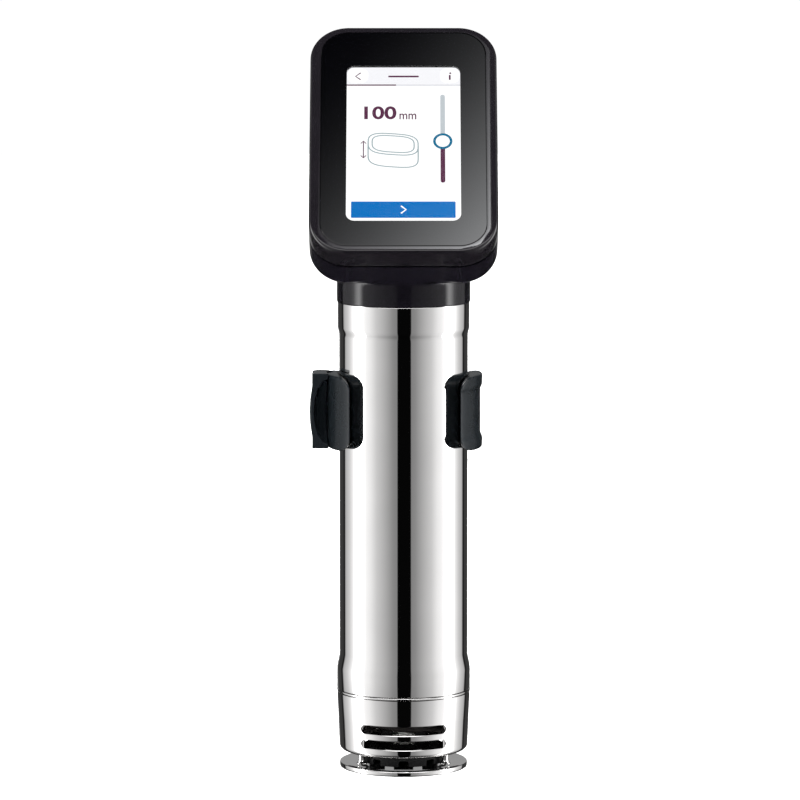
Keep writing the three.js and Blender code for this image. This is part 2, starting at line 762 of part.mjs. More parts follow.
function makeHeadScrew() {
  const headBottom = -headDepth + 1;
  const shoulder = headBottom + screwHeadHeight - gap;
  const tip = -(glassThickness + gap + ledgeThickness + 1.6);
  return turned([
    [0, headBottom], [screwHeadRadius, headBottom], [screwHeadRadius, shoulder], [screwRadius, shoulder],
    [screwRadius, tip], [0, tip],
  ], smallSegments);
}

add('rear_housing', makeRearHousing(), satinBlack, head);
bossPlaces.forEach(([x, y], index) => {
  add(`head_screw_${index + 1}`, makeHeadScrew(), plainSteel, head).position.set(x, y, 0);
});

// power button with its switch, behind the head near the top
const switchBack = mainBoardBack - gap - switchHeight;
const buttonTip = switchBack - buttonTravel - gap;
const flangeBack = -headDepth + headWall + gap;
const powerButton = turned([
  [0, -headDepth - buttonProud], [buttonRadius - 0.6, -headDepth - buttonProud],
  [buttonRadius, -headDepth - buttonProud + 0.6], [buttonRadius, flangeBack],
  [buttonRadius + 1.8, flangeBack], [buttonRadius + 1.8, flangeBack + buttonFlange],
  [buttonRadius / 2, flangeBack + buttonFlange], [buttonRadius / 2, buttonTip], [0, buttonTip],
], 20);
const buttonY = headLength - buttonFromTop;
const buttonSwitch = block(-4, 4, -4, 4, switchBack, mainBoardBack - gap);
add('power_button', powerButton, glossBlack, head).position.y = buttonY;
add('button_switch', buttonSwitch, partBlack, head).position.y = buttonY;

// vent grille let into the back of the neck
function makeVentGrille() {
  const bottom = neckBottom + ventRise + gap;
  const height = ventHeight - 2 * gap;
  const half = ventWidth / 2 - gap;
  const shell = ring(neckRadius - headWall + 0.2, neckRadius - 0.2, bottom, bottom + height);
  const insert = common(shell, block(-half, half, 0, neckRadius + past, bottom - 1, bottom + height + 1));
  const pitch = height / (ventSlots + 0.5);
  const slots = Array.from({ length: ventSlots }, (_, index) => {
    const low = bottom + pitch * (index + 0.5);
    return block(-half + 2.5, half - 2.5, 0, neckRadius + past, low, low + pitch * 0.5);
  });
  return cut(insert, ...slots);
}

const glandFront = neckRadius + gap;
const glandProfile = [
  [glandBore, glandFront - 6], [glandRadius, glandFront - 6], [glandRadius, glandFront],
  [glandFlange, glandFront], [glandFlange, glandFront + 2.5], [glandRadius, glandFront + 3.5],
  [glandRadius - 1, glandFront + 7], [glandBore, glandFront + 7], [glandBore, glandFront - 6],
];
add('vent_grille', makeVentGrille(), satinBlack);
add('cord_gland', alongY(turned(glandProfile, 20), neckBottom + glandRise), rubber);

// ---- clamp collar: two ears joined by a lower band behind the tube ----

function earMask(edge, side) {
  const width = collarRadius + past - edge;
  const shape = roundedRectangle(width + 2 * earCorner, collarHeight, earCorner);
  const middle = side * (edge + width / 2 + earCorner);
  return extrudedAlongY(shape, -collarRadius - past, earRear).translate(middle, 0, leverMiddle);
}

function makeCollar() {
  const low = collarBottom - 1;
  const high = collarTop + 1;
  const leftRing = ring(collarBore, collarRadius, low, high);
  const rightRing = ring(collarBore, collarRadius + collarTab, low, high);
  const recess = ring(
    collarRadius + collarTab - recessDepth, collarRadius + 2 * past,
    leverMiddle - recessHeight / 2, leverMiddle + recessHeight / 2,
  );
  const leftEar = common(leftRing, earMask(leftEarEdge, -1));
  const rightEar = cut(common(rightRing, earMask(rightEarEdge, 1)), recess);
  const band = ring(collarBore, bandRadius, bandBottom, bandTop);
  const frontHalf = block(-2 * collarRadius, 2 * collarRadius, -2 * collarRadius, earRear - 4, low, high);
  const halfKnuckle = knuckleHeight / 2;
  const swing = leverKnuckle + 2 * gap;
  const lobes = [[low, leverMiddle - halfKnuckle], [leverMiddle + halfKnuckle, high]];
  const clearances = lobes.map(([from, to]) => {
    return disc(swing, from, to, 16).translate(leverPinX, leverPivotBack, 0);
  });
  const bottom = leverMiddle - halfKnuckle + gap;
  const top = leverMiddle + halfKnuckle - gap;
  const lugEnd = disc(leverKnuckle - 1, bottom, top, 16).translate(leverPinX, leverPivotBack, 0);
  const reach = leverKnuckle - 1;
  const rootX = -collarBore - collarWall / 2;
  const lugRoot = block(leverPinX, rootX, leverPivotBack - reach, leverPivotBack + reach, bottom, top);
  const pinHole = disc(leverPinRadius + gap, low, high, smallSegments);
  pinHole.translate(leverPinX, leverPivotBack, 0);
  const body = cut(join(leftEar, rightEar, cut(band, frontHalf)), ...clearances);
  const seat = cut(
    block(-bracketWidth / 2, bracketWidth / 2, collarBore * 0.9, bandRadius, bandBottom, bandTop),
    disc(collarBore, low, high),
  );
  const screwHoles = bracketScrewPlaces.map((x) => {
    const hole = disc(screwRadius + gap, bandRadius - 3.6, bandRadius + past, smallSegments);
    return alongY(hole, bracketScrewZ).translate(x, 0, 0);
  });
  return cut(join(body, lugEnd, lugRoot, seat), pinHole, ...screwHoles);
}

add('clamp_collar', makeCollar(), clampBlack);

// bracket with the bridge over the vessel's wall and the leg that carries the screw
function makeBracket() {
  const half = bracketWidth / 2;
  const bridgeBottom = bandTop - bridgeThickness;
  const bridge = block(-half, half, jawFront, legBack, bridgeBottom, bandTop);
  const legShape = roundedRectangle(bracketWidth, bandTop - jawBottom, half - 2);
  const leg = extrudedAlongY(legShape, legFront, legBack).translate(0, 0, (bandTop + jawBottom) / 2);
  const square = block(-half, half, legFront, legBack, bandTop - half, bandTop);
  const jawHalf = jawWidth / 2;
  const jaw = block(-jawHalf, jawHalf, jawFront, jawBack, jawBottom, bandTop);
  const bushHole = alongY(disc(bushRadius + gap, legFront - past, legBack + past, 20), spindleZ);
  const screwHoles = bracketScrewPlaces.map((x) => {
    const hole = turned([
      [0, jawFront - past], [screwRadius + gap, jawFront - past],
      [screwRadius + gap, jawBack - screwHeadHeight], [screwHeadRadius + gap, jawBack - screwHeadHeight],
      [screwHeadRadius + gap, jawBack + past], [0, jawBack + past],
    ], smallSegments);
    return alongY(hole, bracketScrewZ).translate(x, 0, 0);
  });
  return cut(join(bridge, leg, square, jaw), bushHole, ...screwHoles);
}

function makeBracketScrew() {
  const shoulder = jawBack - screwHeadHeight + gap;
  const tip = bandRadius - 3.3;
  return alongY(turned([
    [0, tip], [screwRadius, tip], [screwRadius, shoulder], [screwHeadRadius, shoulder],
    [screwHeadRadius, jawBack], [0, jawBack],
  ], smallSegments), bracketScrewZ);
}

const jawPadHalf = jawWidth / 2 - 1.5;
const jawPad = block(
  -jawPadHalf, jawPadHalf, jawBack + gap, jawPadBack, jawBottom + 1.5, bandTop - bridgeThickness - 1.5,
);
add('clamp_bracket', makeBracket(), clampBlack);
bracketScrewPlaces.forEach((x, index) => {
  add(`bracket_screw_${index + 1}`, makeBracketScrew(), plainSteel).position.x = x;
});
add('jaw_pad', jawPad, rubber);
const bush = ring(spindleRadius + gap, bushRadius, legFront, legBack, 16);
add('screw_bush', alongY(bush, spindleZ), brass);

// the swivelling pad, the spindle and the knob
const socketFloor = padFront + padFaceThickness + gap + 2;
const pad = turned([
  [0, socketFloor - 2], [padRadius, socketFloor - 2], [padRadius, padBack - 2],
  [spindleRadius + 3, padBack], [spindleRadius + gap, padBack], [spindleRadius + gap, socketFloor + gap], [0, socketFloor + gap],
], wheelSegments);
const padFace = disc(padRadius - 1, padFront, padFront + padFaceThickness, wheelSegments);
const spindle = disc(spindleRadius, socketFloor + 2 * gap, knobFront + knobLength - 3, 16);
add('pressure_pad', alongY(pad, spindleZ), clampBlack);
add('pad_face', alongY(padFace, spindleZ), rubber);
add('clamp_spindle', alongY(spindle, spindleZ), plainSteel);

function makeKnob() {
  const blank = disc(knobRadius, knobFront, knobFront + knobLength, roundSegments);
  const flutes = Array.from({ length: knobLobes }, (_, index) => {
    const [x, y] = around(knobRadius + 3, (index + 0.5) * 360 / knobLobes);
    return disc(5.5, knobFront - past, knobFront + knobLength + past, 12).translate(x, y, 0);
  });
  const socket = disc(spindleRadius + gap, knobFront - past, knobFront + knobLength - 2.5, 16);
  return alongY(cut(blank, ...flutes, socket), spindleZ);
}

add('clamp_knob', makeKnob(), clampBlack);

// ---- clamp lever: a bowed shell with a finger pocket, hinged behind on a steel pin ----

function makeLever() {
  const inner = collarRadius + gap + 0.1;
  const innerX = -Math.sqrt(inner ** 2 - leverFront ** 2);
  const plan = new THREE.Shape();
  plan.moveTo(innerX, -leverFront);
  plan.lineTo(leverOuterX - leverBulge + 1, -leverFront);
  plan.lineTo(leverOuterX - leverBulge, -leverFront + 1);
  plan.lineTo(leverOuterX - leverBulge, 0);
  plan.absarc(leverPinX, leverPivotBack, leverKnuckle, 200 * degree, 0, true);
  plan.lineTo(-inner, 0);
  const bottom = collarBottom;
  const options = { depth: collarHeight + 0.4, bevelEnabled: false, curveSegments: 6 };
  const blank = new THREE.ExtrudeGeometry(plan, options).translate(0, 0, bottom);
  const bow = new THREE.Shape();
  bow.moveTo(leverOuterX, -past);
  bow.lineTo(leverOuterX, 6);
  bow.quadraticCurveTo(leverOuterX - 2 * leverBulge, collarHeight / 2, leverOuterX, collarHeight - 6);
  bow.lineTo(leverOuterX, collarHeight + past);
  bow.lineTo(0, collarHeight + past);
  bow.lineTo(0, -past);
  const bowing = extrudedAlongY(bow, -2 * leverFront, 2 * leverFront).translate(0, 0, bottom);
  const bowed = common(blank, bowing);
  const pocket = new THREE.SphereGeometry(1, 16, 10).scale(leverThickness + 0.4, 9, collarHeight / 2 - 2);
  pocket.translate(innerX, -leverFront, leverMiddle);
  const halfKnuckle = knuckleHeight / 2;
  const room = leverKnuckle + gap;
  const low = leverMiddle - halfKnuckle;
  const high = leverMiddle + halfKnuckle;
  const lugRoom = join(
    disc(room, low, high, 16).translate(leverPinX, leverPivotBack, 0),
    block(leverPinX, 0, leverPivotBack - room, 20, low, high),
  );
  const pinHole = disc(leverPinRadius + gap, bottom + 1.5, collarTop - 1.5, smallSegments);
  return cut(bowed, pocket, lugRoom, pinHole.translate(leverPinX, leverPivotBack, 0));
}

add('clamp_lever', makeLever(), clampBlack);
const leverPin = disc(leverPinRadius, collarBottom + 1.8, collarTop - 1.8, smallSegments);
add('lever_pin', leverPin, plainSteel).position.set(leverPinX, leverPivotBack, 0);

export default circulator;
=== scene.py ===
# A sous vide circulator on a pale studio floor: a polished tube with a tilted touch screen
# head, a sliding clamp and a slotted skirt. Sizes in the dictionaries are millimetres.
import json
import math

import bpy
from mathutils import Matrix, Vector

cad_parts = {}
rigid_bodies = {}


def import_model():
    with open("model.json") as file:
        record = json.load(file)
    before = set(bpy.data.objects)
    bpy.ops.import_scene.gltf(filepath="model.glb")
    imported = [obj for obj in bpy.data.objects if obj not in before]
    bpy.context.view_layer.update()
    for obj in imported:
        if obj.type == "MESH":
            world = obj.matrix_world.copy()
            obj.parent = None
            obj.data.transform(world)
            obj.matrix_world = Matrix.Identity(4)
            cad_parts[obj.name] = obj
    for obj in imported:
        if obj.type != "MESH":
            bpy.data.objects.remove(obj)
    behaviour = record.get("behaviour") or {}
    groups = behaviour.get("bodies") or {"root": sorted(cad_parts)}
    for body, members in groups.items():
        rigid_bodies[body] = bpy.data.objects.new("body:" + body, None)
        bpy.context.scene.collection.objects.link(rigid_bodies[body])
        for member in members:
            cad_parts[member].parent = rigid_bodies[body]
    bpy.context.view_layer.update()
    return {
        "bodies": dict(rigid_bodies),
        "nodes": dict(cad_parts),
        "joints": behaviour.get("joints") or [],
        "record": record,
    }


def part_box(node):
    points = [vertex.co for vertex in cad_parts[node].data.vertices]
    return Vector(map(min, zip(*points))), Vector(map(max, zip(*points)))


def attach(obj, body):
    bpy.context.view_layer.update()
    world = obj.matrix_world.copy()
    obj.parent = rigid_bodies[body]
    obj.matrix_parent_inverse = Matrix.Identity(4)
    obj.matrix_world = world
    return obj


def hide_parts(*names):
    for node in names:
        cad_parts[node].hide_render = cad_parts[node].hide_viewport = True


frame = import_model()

mm = 0.001
nodes = frame["nodes"]
joints = {joint["name"]: joint for joint in frame["joints"]}

# small helpers for working as by hand
def only(obj):
    if bpy.context.object and bpy.context.object.mode != "OBJECT":
        bpy.ops.object.mode_set(mode="OBJECT")
    bpy.ops.object.select_all(action="DESELECT")
    obj.select_set(True)
    bpy.context.view_layer.objects.active = obj
    return obj


def newest(name):
    obj = bpy.context.active_object
    obj.name = name
    obj.data.name = name
    bpy.ops.object.transform_apply(location=True, rotation=True, scale=True)
    return obj


def clearSelection():
    bpy.ops.object.select_all(action="DESELECT")


def pick(obj, kind, test):
    # kind is VERT, EDGE or FACE; test gets the corner points, and for a face its normal
    only(obj)
    mesh = obj.data
    bpy.context.tool_settings.mesh_select_mode = tuple(kind == k for k in ("VERT", "EDGE", "FACE"))
    for group in (mesh.vertices, mesh.edges, mesh.polygons):
        group.foreach_set("select", [False] * len(group))
    points = [vertex.co / mm for vertex in mesh.vertices]
    if kind == "VERT":
        for vertex in mesh.vertices:
            vertex.select = test(points[vertex.index])
    if kind == "EDGE":
        for edge in mesh.edges:
            edge.select = test(*[points[i] for i in edge.vertices])
    if kind == "FACE":
        for face in mesh.polygons:
            face.select = test(face.center / mm, face.normal)
    bpy.ops.object.mode_set(mode="EDIT")


def finishEdit():
    bpy.ops.object.mode_set(mode="OBJECT")


def fixNormals(obj, merge=1e-6):
    only(obj)
    bpy.ops.object.mode_set(mode="EDIT")
    bpy.ops.mesh.select_all(action="SELECT")
    bpy.ops.mesh.remove_doubles(threshold=merge)
    bpy.ops.mesh.normals_make_consistent(inside=False)
    finishEdit()


# a profile of (radius, height) turned about Z: a circle is drawn out from point to point
def turned(name, profile, segments=96):
    clearSelection()
    radius, height = profile[0]
    start = (0, 0, height * mm)
    bpy.ops.mesh.primitive_circle_add(vertices=segments, radius=radius * mm, location=start)
    obj = newest(name)
    bpy.ops.object.mode_set(mode="EDIT")
    bpy.ops.mesh.select_all(action="SELECT")
    for (fromRadius, fromHeight), (toRadius, toHeight) in zip(profile, profile[1:]):
        step = (0, 0, (toHeight - fromHeight) * mm)
        bpy.ops.mesh.extrude_region_move(TRANSFORM_OT_translate={"value": step})
        grow = toRadius / fromRadius
        bpy.ops.transform.resize(value=(grow, grow, 1), center_override=(0, 0, toHeight * mm))
    bpy.ops.mesh.select_all(action="SELECT")
    bpy.ops.mesh.remove_doubles(threshold=1e-7)
    bpy.ops.mesh.fill_holes(sides=0)
    bpy.ops.mesh.select_all(action="SELECT")
    bpy.ops.mesh.normals_make_consistent(inside=False)
    finishEdit()
    return obj


# a round bar between two heights; its tiny core is closed at both ends
def plug(name, radius, low, high, segments, core=0.5):
    return turned(name, [(core, low), (radius, low), (radius, high), (core, high)], segments)


def sleeve(name, inner, outer, low, high, segments):
    profile = [(inner, low), (outer, low), (outer, high), (inner, high), (inner, low)]
    return turned(name, profile, segments)


# profile points along a rounded corner, from one angle to another in degrees
def arc(radius, height, size, start, end, steps=5):
    points = []
    for step in range(steps + 1):
        angle = math.radians(start + (end - start) * step / steps)
        points.append((radius + size * math.cos(angle), height + size * math.sin(angle)))
    return points


def block(name, low, high):
    clearSelection()
    size = [(b - a) * mm for a, b in zip(low, high)]
    middle = [(a + b) / 2 * mm for a, b in zip(low, high)]
    bpy.ops.mesh.primitive_cube_add(size=1, location=middle, scale=size)
    return newest(name)


def bevelEdges(obj, test, size, segments):
    pick(obj, "EDGE", test)
    bpy.ops.mesh.bevel(offset=size * mm, segments=segments, affect="EDGES", clamp_overlap=True)
    finishEdit()


# a slab with rounded corners between two levels of its third axis
def roundedSlab(name, low, high, corner, segments=12):
    obj = block(name, low, high)
    bevelEdges(obj, lambda a, b: abs(a.z - b.z) > 1e-3, corner, segments)
    return obj


def rimAt(level):
    return lambda a, b: abs(a.z - level) < 1e-3 and abs(b.z - level) < 1e-3


def modify(obj, kind, **settings):
    only(obj)
    modifier = obj.modifiers.new(kind.title(), kind)
    for key, value in settings.items():
        setattr(modifier, key, value)
    bpy.ops.object.modifier_apply(modifier=modifier.name)


def combine(obj, operation, *others):
    for other in others:
        modify(obj, "BOOLEAN", operation=operation, object=other, solver="EXACT")
        mesh = other.data
        bpy.data.objects.remove(other)
        bpy.data.meshes.remove(mesh)
    return obj


def joined(first, *others):
    only(first)
    for other in others:
        other.select_set(True)
    bpy.ops.object.join()
    return first


def copyOf(obj, name, offset=(0, 0, 0)):
    only(obj)
    bpy.ops.object.duplicate(linked=False)
    twin = newest(name)
    bpy.ops.transform.translate(value=[part * mm for part in offset])
    bpy.ops.object.transform_apply(location=True)
    return twin


def placed(obj, matrix):
    only(obj)
    obj.matrix_world = matrix
    bpy.ops.object.transform_apply(location=True, rotation=True, scale=True)
    return obj


def moved(obj, x, y):
    return placed(obj, Matrix.Translation((x * mm, y * mm, 0)))


def alongY(obj, height=0, x=0):
    # a piece turned about Z is laid along +Y at a height
    lay = Matrix.Rotation(-math.pi / 2, 4, "X")
    return placed(obj, Matrix.Translation((x * mm, 0, height * mm)) @ lay)


# where a CAD node starts and ends along one axis
def spanOf(node, axis):
    low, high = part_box(node)
    return getattr(low, axis) / mm, getattr(high, axis) / mm


# moulded plastic: the sharp solid is remeshed and its corners are eased
def soften(obj, voxel, passes):
    only(obj)
    obj.data.remesh_voxel_size = voxel * mm
    bpy.ops.object.voxel_remesh()
    modify(obj, "SMOOTH", factor=0.5, iterations=passes)
    return obj


def present(obj, body, slot, material, *replaced, angle=32):
    only(obj)
    bpy.ops.object.shade_smooth_by_angle(angle=math.radians(angle))
    obj.data.materials.clear()
    obj.data.materials.append(material)
    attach(obj, body)
    if replaced:
        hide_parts(*replaced)
    return obj


# camera, light and floor

studio = {
    "distance": 2500,
    "downAngle": 7.12,
    "lookHeight": 187,
    "lens": 226.5,
    "shift": (-0.0044, -0.0073),
    "floorRadius": 4000,
    "floorDrop": 0.15,
    "floorColor": (0.9, 0.9, 0.9),
    "skyPower": 620,
    "glow": 1.02,
    "frontGlow": 0.35,
}


def addCamera():
    angle = math.radians(studio["downAngle"])
    away = studio["distance"] * mm
    target = Vector((0, 0, studio["lookHeight"] * mm))
    location = target + Vector((0, -away * math.cos(angle), away * math.sin(angle)))
    clearSelection()
    bpy.ops.object.camera_add(location=location)
    camera = bpy.context.active_object
    camera.rotation_euler = (target - location).to_track_quat("-Z", "Y").to_euler()
    camera.data.lens = studio["lens"]
    camera.data.shift_x, camera.data.shift_y = studio["shift"]
    camera.data.clip_start = 0.05
    camera.data.clip_end = 50
    bpy.context.scene.camera = camera


def mathNode(tree, operation, first, second=None, clamp=False):
    node = tree.nodes.new("ShaderNodeMath")
    node.operation = operation
    node.use_clamp = clamp
    for socket, value in zip(node.inputs, (first, second)):
        if value is None:
            continue
        if isinstance(value, (int, float)):
            socket.default_value = value
        else:
            tree.links.new(value, socket)
    return node.outputs[0]


def rampNode(tree, source, stops, interpolation="LINEAR"):
    node = tree.nodes.new("ShaderNodeValToRGB")
    node.color_ramp.interpolation = interpolation
    elements = node.color_ramp.elements
    while len(elements) < len(stops):
        elements.new(0.5)
    for element, (position, value) in zip(elements, stops):
        color = value if isinstance(value, (tuple, list)) else (value, value, value)
        element.position = position
        element.color = (*color, 1)
    tree.links.new(source, node.inputs[0])
    return node.outputs[0]


# brightness round the room, by degrees from the camera's side, out of the brightest
roomStops = [
    (0, 0.0002), (11.6, 0.0002), (12.4, 0.0254), (20, 0.03), (34, 0.049), (50, 0.07), (62, 0.098),
    (69, 0.108), (75, 0.122), (79, 0.45), (84, 0.9), (90, 0.6), (97, 0.2), (104, 0.112), (108, 0.094),
    (115, 0.072), (126, 0.053), (129, 0.046), (132, 0.0016), (136, 0.001), (140, 0.0046),
    (157, 0.0046), (166, 0.034), (180, 0.034),
]
roomPower = 9


def lightTheRoom():
    world = bpy.data.worlds.new("studio")
    bpy.context.scene.world = world
    world.use_nodes = True
    tree = world.node_tree
    tree.nodes.clear()
    coords = tree.nodes.new("ShaderNodeTexCoord")
    split = tree.nodes.new("ShaderNodeSeparateXYZ")
    tree.links.new(coords.outputs["Generated"], split.inputs[0])
    across, along, up = split.outputs
    turn = mathNode(tree, "ARCTAN2", across, mathNode(tree, "MULTIPLY", along, -1))
    turn = mathNode(tree, "ABSOLUTE", mathNode(tree, "SUBTRACT", turn, math.radians(1.2)))
    share = mathNode(tree, "DIVIDE", turn, math.pi)
    band = rampNode(tree, share, [(degrees / 180, value) for degrees, value in roomStops])
    high = mathNode(tree, "ADD", mathNode(tree, "MULTIPLY", up, 0.5), 0.5)
    fade = rampNode(tree, high, [
        (0, 0.02), (0.06, 0.04), (0.14, 0.35), (0.27, 0.9), (0.4, 1), (0.72, 1), (0.88, 0.02), (1, 0.01),
    ])
    ahead = rampNode(tree, share, [(0, 1), (0.25, 1), (0.36, 0)])
    aloft = rampNode(tree, high, [(0.74, 0), (0.79, 1), (0.88, 1), (0.93, 0)])
    front = mathNode(tree, "MULTIPLY", mathNode(tree, "MULTIPLY", ahead, aloft), studio["frontGlow"])
    room = mathNode(tree, "ADD", mathNode(tree, "MULTIPLY", band, fade), front)
    glow = tree.nodes.new("ShaderNodeBackground")
    glow.inputs["Color"].default_value = (1, 1, 1, 1)
    tree.links.new(mathNode(tree, "MULTIPLY", room, roomPower), glow.inputs["Strength"])
    plain = tree.nodes.new("ShaderNodeBackground")
    plain.inputs["Color"].default_value = (1, 1, 1, 1)
    plain.inputs["Strength"].default_value = studio["glow"]
    path = tree.nodes.new("ShaderNodeLightPath")
    mix = tree.nodes.new("ShaderNodeMixShader")
    tree.links.new(path.outputs["Is Camera Ray"], mix.inputs[0])
    tree.links.new(glow.outputs[0], mix.inputs[1])
    tree.links.new(plain.outputs[0], mix.inputs[2])
    output = tree.nodes.new("ShaderNodeOutputWorld")
    tree.links.new(mix.outputs[0], output.inputs[0])
    clearSelection()
    bpy.ops.object.light_add(type="AREA", location=(0, 0, 3.2))
    sky = bpy.context.active_object
    sky.name = "sky_panel"
    sky.data.shape = "SQUARE"
    sky.data.size = 4
    sky.data.energy = studio["skyPower"]
    sky.visible_glossy = False
    sky.visible_transmission = False
    sky.visible_camera = False


def layFloor():
    clearSelection()
    bpy.ops.mesh.primitive_circle_add(
        vertices=96, radius=studio["floorRadius"] * mm, fill_type="NGON",
        location=(0, 0, -studio["floorDrop"] * mm),
    )
    floor = newest("floor")
    material = bpy.data.materials.new("studio_floor")
    material.use_nodes = True
    tree = material.node_tree
    shader = tree.nodes["Principled BSDF"]
    shader.inputs["Roughness"].default_value = 0.9
    shader.inputs["Specular IOR Level"].default_value = 0.1
    coords = tree.nodes.new("ShaderNodeTexCoord")
    noise = tree.nodes.new("ShaderNodeTexNoise")
    noise.inputs["Scale"].default_value = 3
    tree.links.new(coords.outputs["Object"], noise.inputs["Vector"])
    pale = studio["floorColor"]
    mottle = rampNode(tree, noise.outputs[0], [(0.3, pale), (0.7, [c * 0.985 for c in pale])])
    tree.links.new(mottle, shader.inputs["Base Color"])
    floor.data.materials.append(material)
    floor.visible_glossy = False


# the soft panel whose reflection lies across the screen glass, bright at one corner
panelLight = {
    "reach": 500, "width": 160, "length": 200, "power": 13, "falloff": 3.5,
    "slope": (0.56, -0.62, 0.53),
}


def hangPanel(centre, normal, right):
    clearSelection()
    bpy.ops.mesh.primitive_plane_add(size=1)
    panel = newest("reflection_panel")
    view = (Vector((0, 0, studio["lookHeight"] * mm)) - bpy.context.scene.camera.location).normalized()
    bounce = view - 2 * view.dot(normal) * normal
    upward = right.cross(bounce).normalized()
    turn = Matrix((right, upward, -bounce)).transposed().to_4x4()
    size = Matrix.Diagonal((panelLight["width"] * mm, panelLight["length"] * mm, 1, 1))
    placed(panel, Matrix.Translation(centre + bounce * panelLight["reach"] * mm) @ turn @ size)
    material = bpy.data.materials.new("panel_glow")
    material.use_nodes = True
    tree = material.node_tree
    tree.nodes.clear()
    coords = tree.nodes.new("ShaderNodeTexCoord")
    split = tree.nodes.new("ShaderNodeSeparateXYZ")
    tree.links.new(coords.outputs["Generated"], split.inputs[0])
    rightward, upwards, level = panelLight["slope"]
    sideways = mathNode(tree, "MULTIPLY", split.outputs[0], rightward)
    lengthways = mathNode(tree, "MULTIPLY", split.outputs[1], upwards)
    slope = mathNode(tree, "ADD", mathNode(tree, "ADD", sideways, lengthways), level, clamp=True)
    curve = mathNode(tree, "POWER", slope, panelLight["falloff"])
    glow = mathNode(tree, "MULTIPLY", curve, panelLight["power"])
    light = tree.nodes.new("ShaderNodeEmission")
    light.inputs["Color"].default_value = (0.97, 0.985, 1, 1)
    tree.links.new(glow, light.inputs["Strength"])
    output = tree.nodes.new("ShaderNodeOutputMaterial")
    tree.links.new(light.outputs[0], output.inputs[0])
    panel.data.materials.append(material)
    panel.visible_camera = False
    panel.visible_diffuse = False
    panel.visible_shadow = False
    return panel


addCamera()
lightTheRoom()
layFloor()
bpy.context.scene.view_settings.view_transform = "Standard"
print("camera, light and floor are set")

# finishes


def principled(name):
    material = bpy.data.materials.new(name)
    material.use_nodes = True
    tree = material.node_tree
    coords = tree.nodes.new("ShaderNodeTexCoord")
    return material, tree, tree.nodes["Principled BSDF"], coords.outputs["Object"]


def stretched(tree, coords, scale):
    node = tree.nodes.new("ShaderNodeMapping")
    node.inputs["Scale"].default_value = scale
    tree.links.new(coords, node.inputs["Vector"])
    return node.outputs[0]


def noiseOf(tree, coords, scale, detail=3):
    node = tree.nodes.new("ShaderNodeTexNoise")
    node.inputs["Scale"].default_value = scale
    node.inputs["Detail"].default_value = detail
    tree.links.new(coords, node.inputs["Vector"])
    return node.outputs["Fac"]


def bumpOf(tree, shader, height, strength, depth):
    node = tree.nodes.new("ShaderNodeBump")
    node.inputs["Strength"].default_value = strength
    node.inputs["Distance"].default_value = depth * mm
    tree.links.new(height, node.inputs["Height"])
    tree.links.new(node.outputs[0], shader.inputs["Normal"])


def shades(color, spread):
    return [(0.3, [c * (1 - spread) for c in color]), (0.7, [min(1, c * (1 + spread)) for c in color])]


# metal: a colour that wanders a little, faint rubbing marks, and a grain drawn out one way
def metalFinish(name, color, rough, grain=(400, 400, 400), wear=0.02, bump=0.0):
    material, tree, shader, coords = principled(name)
    shader.inputs["Metallic"].default_value = 1
    lines = noiseOf(tree, stretched(tree, coords, grain), 1, 4)
    smudges = noiseOf(tree, coords, 38, 5)
    tree.links.new(rampNode(tree, smudges, shades(color, 0.025)), shader.inputs["Base Color"])
    rubbed = mathNode(tree, "MULTIPLY", lines, wear)
    marks = mathNode(tree, "ADD", rubbed, mathNode(tree, "MULTIPLY", smudges, wear))
    tree.links.new(mathNode(tree, "ADD", marks, rough), shader.inputs["Roughness"])
    if bump:
        bumpOf(tree, shader, lines, bump, 0.02)
    return material


# moulded plastic or rubber: fine grain in the surface and soft clouds in the gloss
def mouldedFinish(name, color, rough, grain=2600, bump=0.15, depth=0.02, cloud=0.08, specular=0.5):
    material, tree, shader, coords = principled(name)
    shader.inputs["Specular IOR Level"].default_value = specular
    fine = noiseOf(tree, coords, grain, 2)
    clouds = noiseOf(tree, coords, 45, 4)
    tree.links.new(rampNode(tree, clouds, shades(color, 0.12)), shader.inputs["Base Color"])
    sway = mathNode(tree, "MULTIPLY", mathNode(tree, "SUBTRACT", clouds, 0.5), cloud)
    tree.links.new(mathNode(tree, "ADD", sway, rough), shader.inputs["Roughness"])
    if bump:
        bumpOf(tree, shader, fine, bump, depth)
    return material


def boardFinish(name):
    material, tree, shader, coords = principled(name)
    tracks = tree.nodes.new("ShaderNodeTexBrick")
    tracks.inputs["Scale"].default_value = 180
    tracks.inputs["Color1"].default_value = (0.012, 0.11, 0.035, 1)
    tracks.inputs["Color2"].default_value = (0.016, 0.15, 0.05, 1)
    tracks.inputs["Mortar"].default_value = (0.03, 0.24, 0.09, 1)
    tree.links.new(coords, tracks.inputs["Vector"])
    tree.links.new(tracks.outputs["Color"], shader.inputs["Base Color"])
    rough = mathNode(tree, "MULTIPLY_ADD", noiseOf(tree, coords, 60), 0.15)
    tree.links.new(rough, shader.inputs["Roughness"])
    return material


# screen colours: lit evenly, with a very fine, faint mottle
def litFinish(name, color, strength=1.0):
    material, tree, shader, coords = principled(name)
    shader.inputs["Base Color"].default_value = (0.01, 0.01, 0.01, 1)
    shader.inputs["Roughness"].default_value = 0.5
    shader.inputs["Specular IOR Level"].default_value = 0
    cells = noiseOf(tree, coords, 9000, 0)
    glow = rampNode(tree, cells, [(0.3, [c * 0.985 for c in color]), (0.7, color)])
    tree.links.new(glow, shader.inputs["Emission Color"])
    shader.inputs["Emission Strength"].default_value = strength
    return material


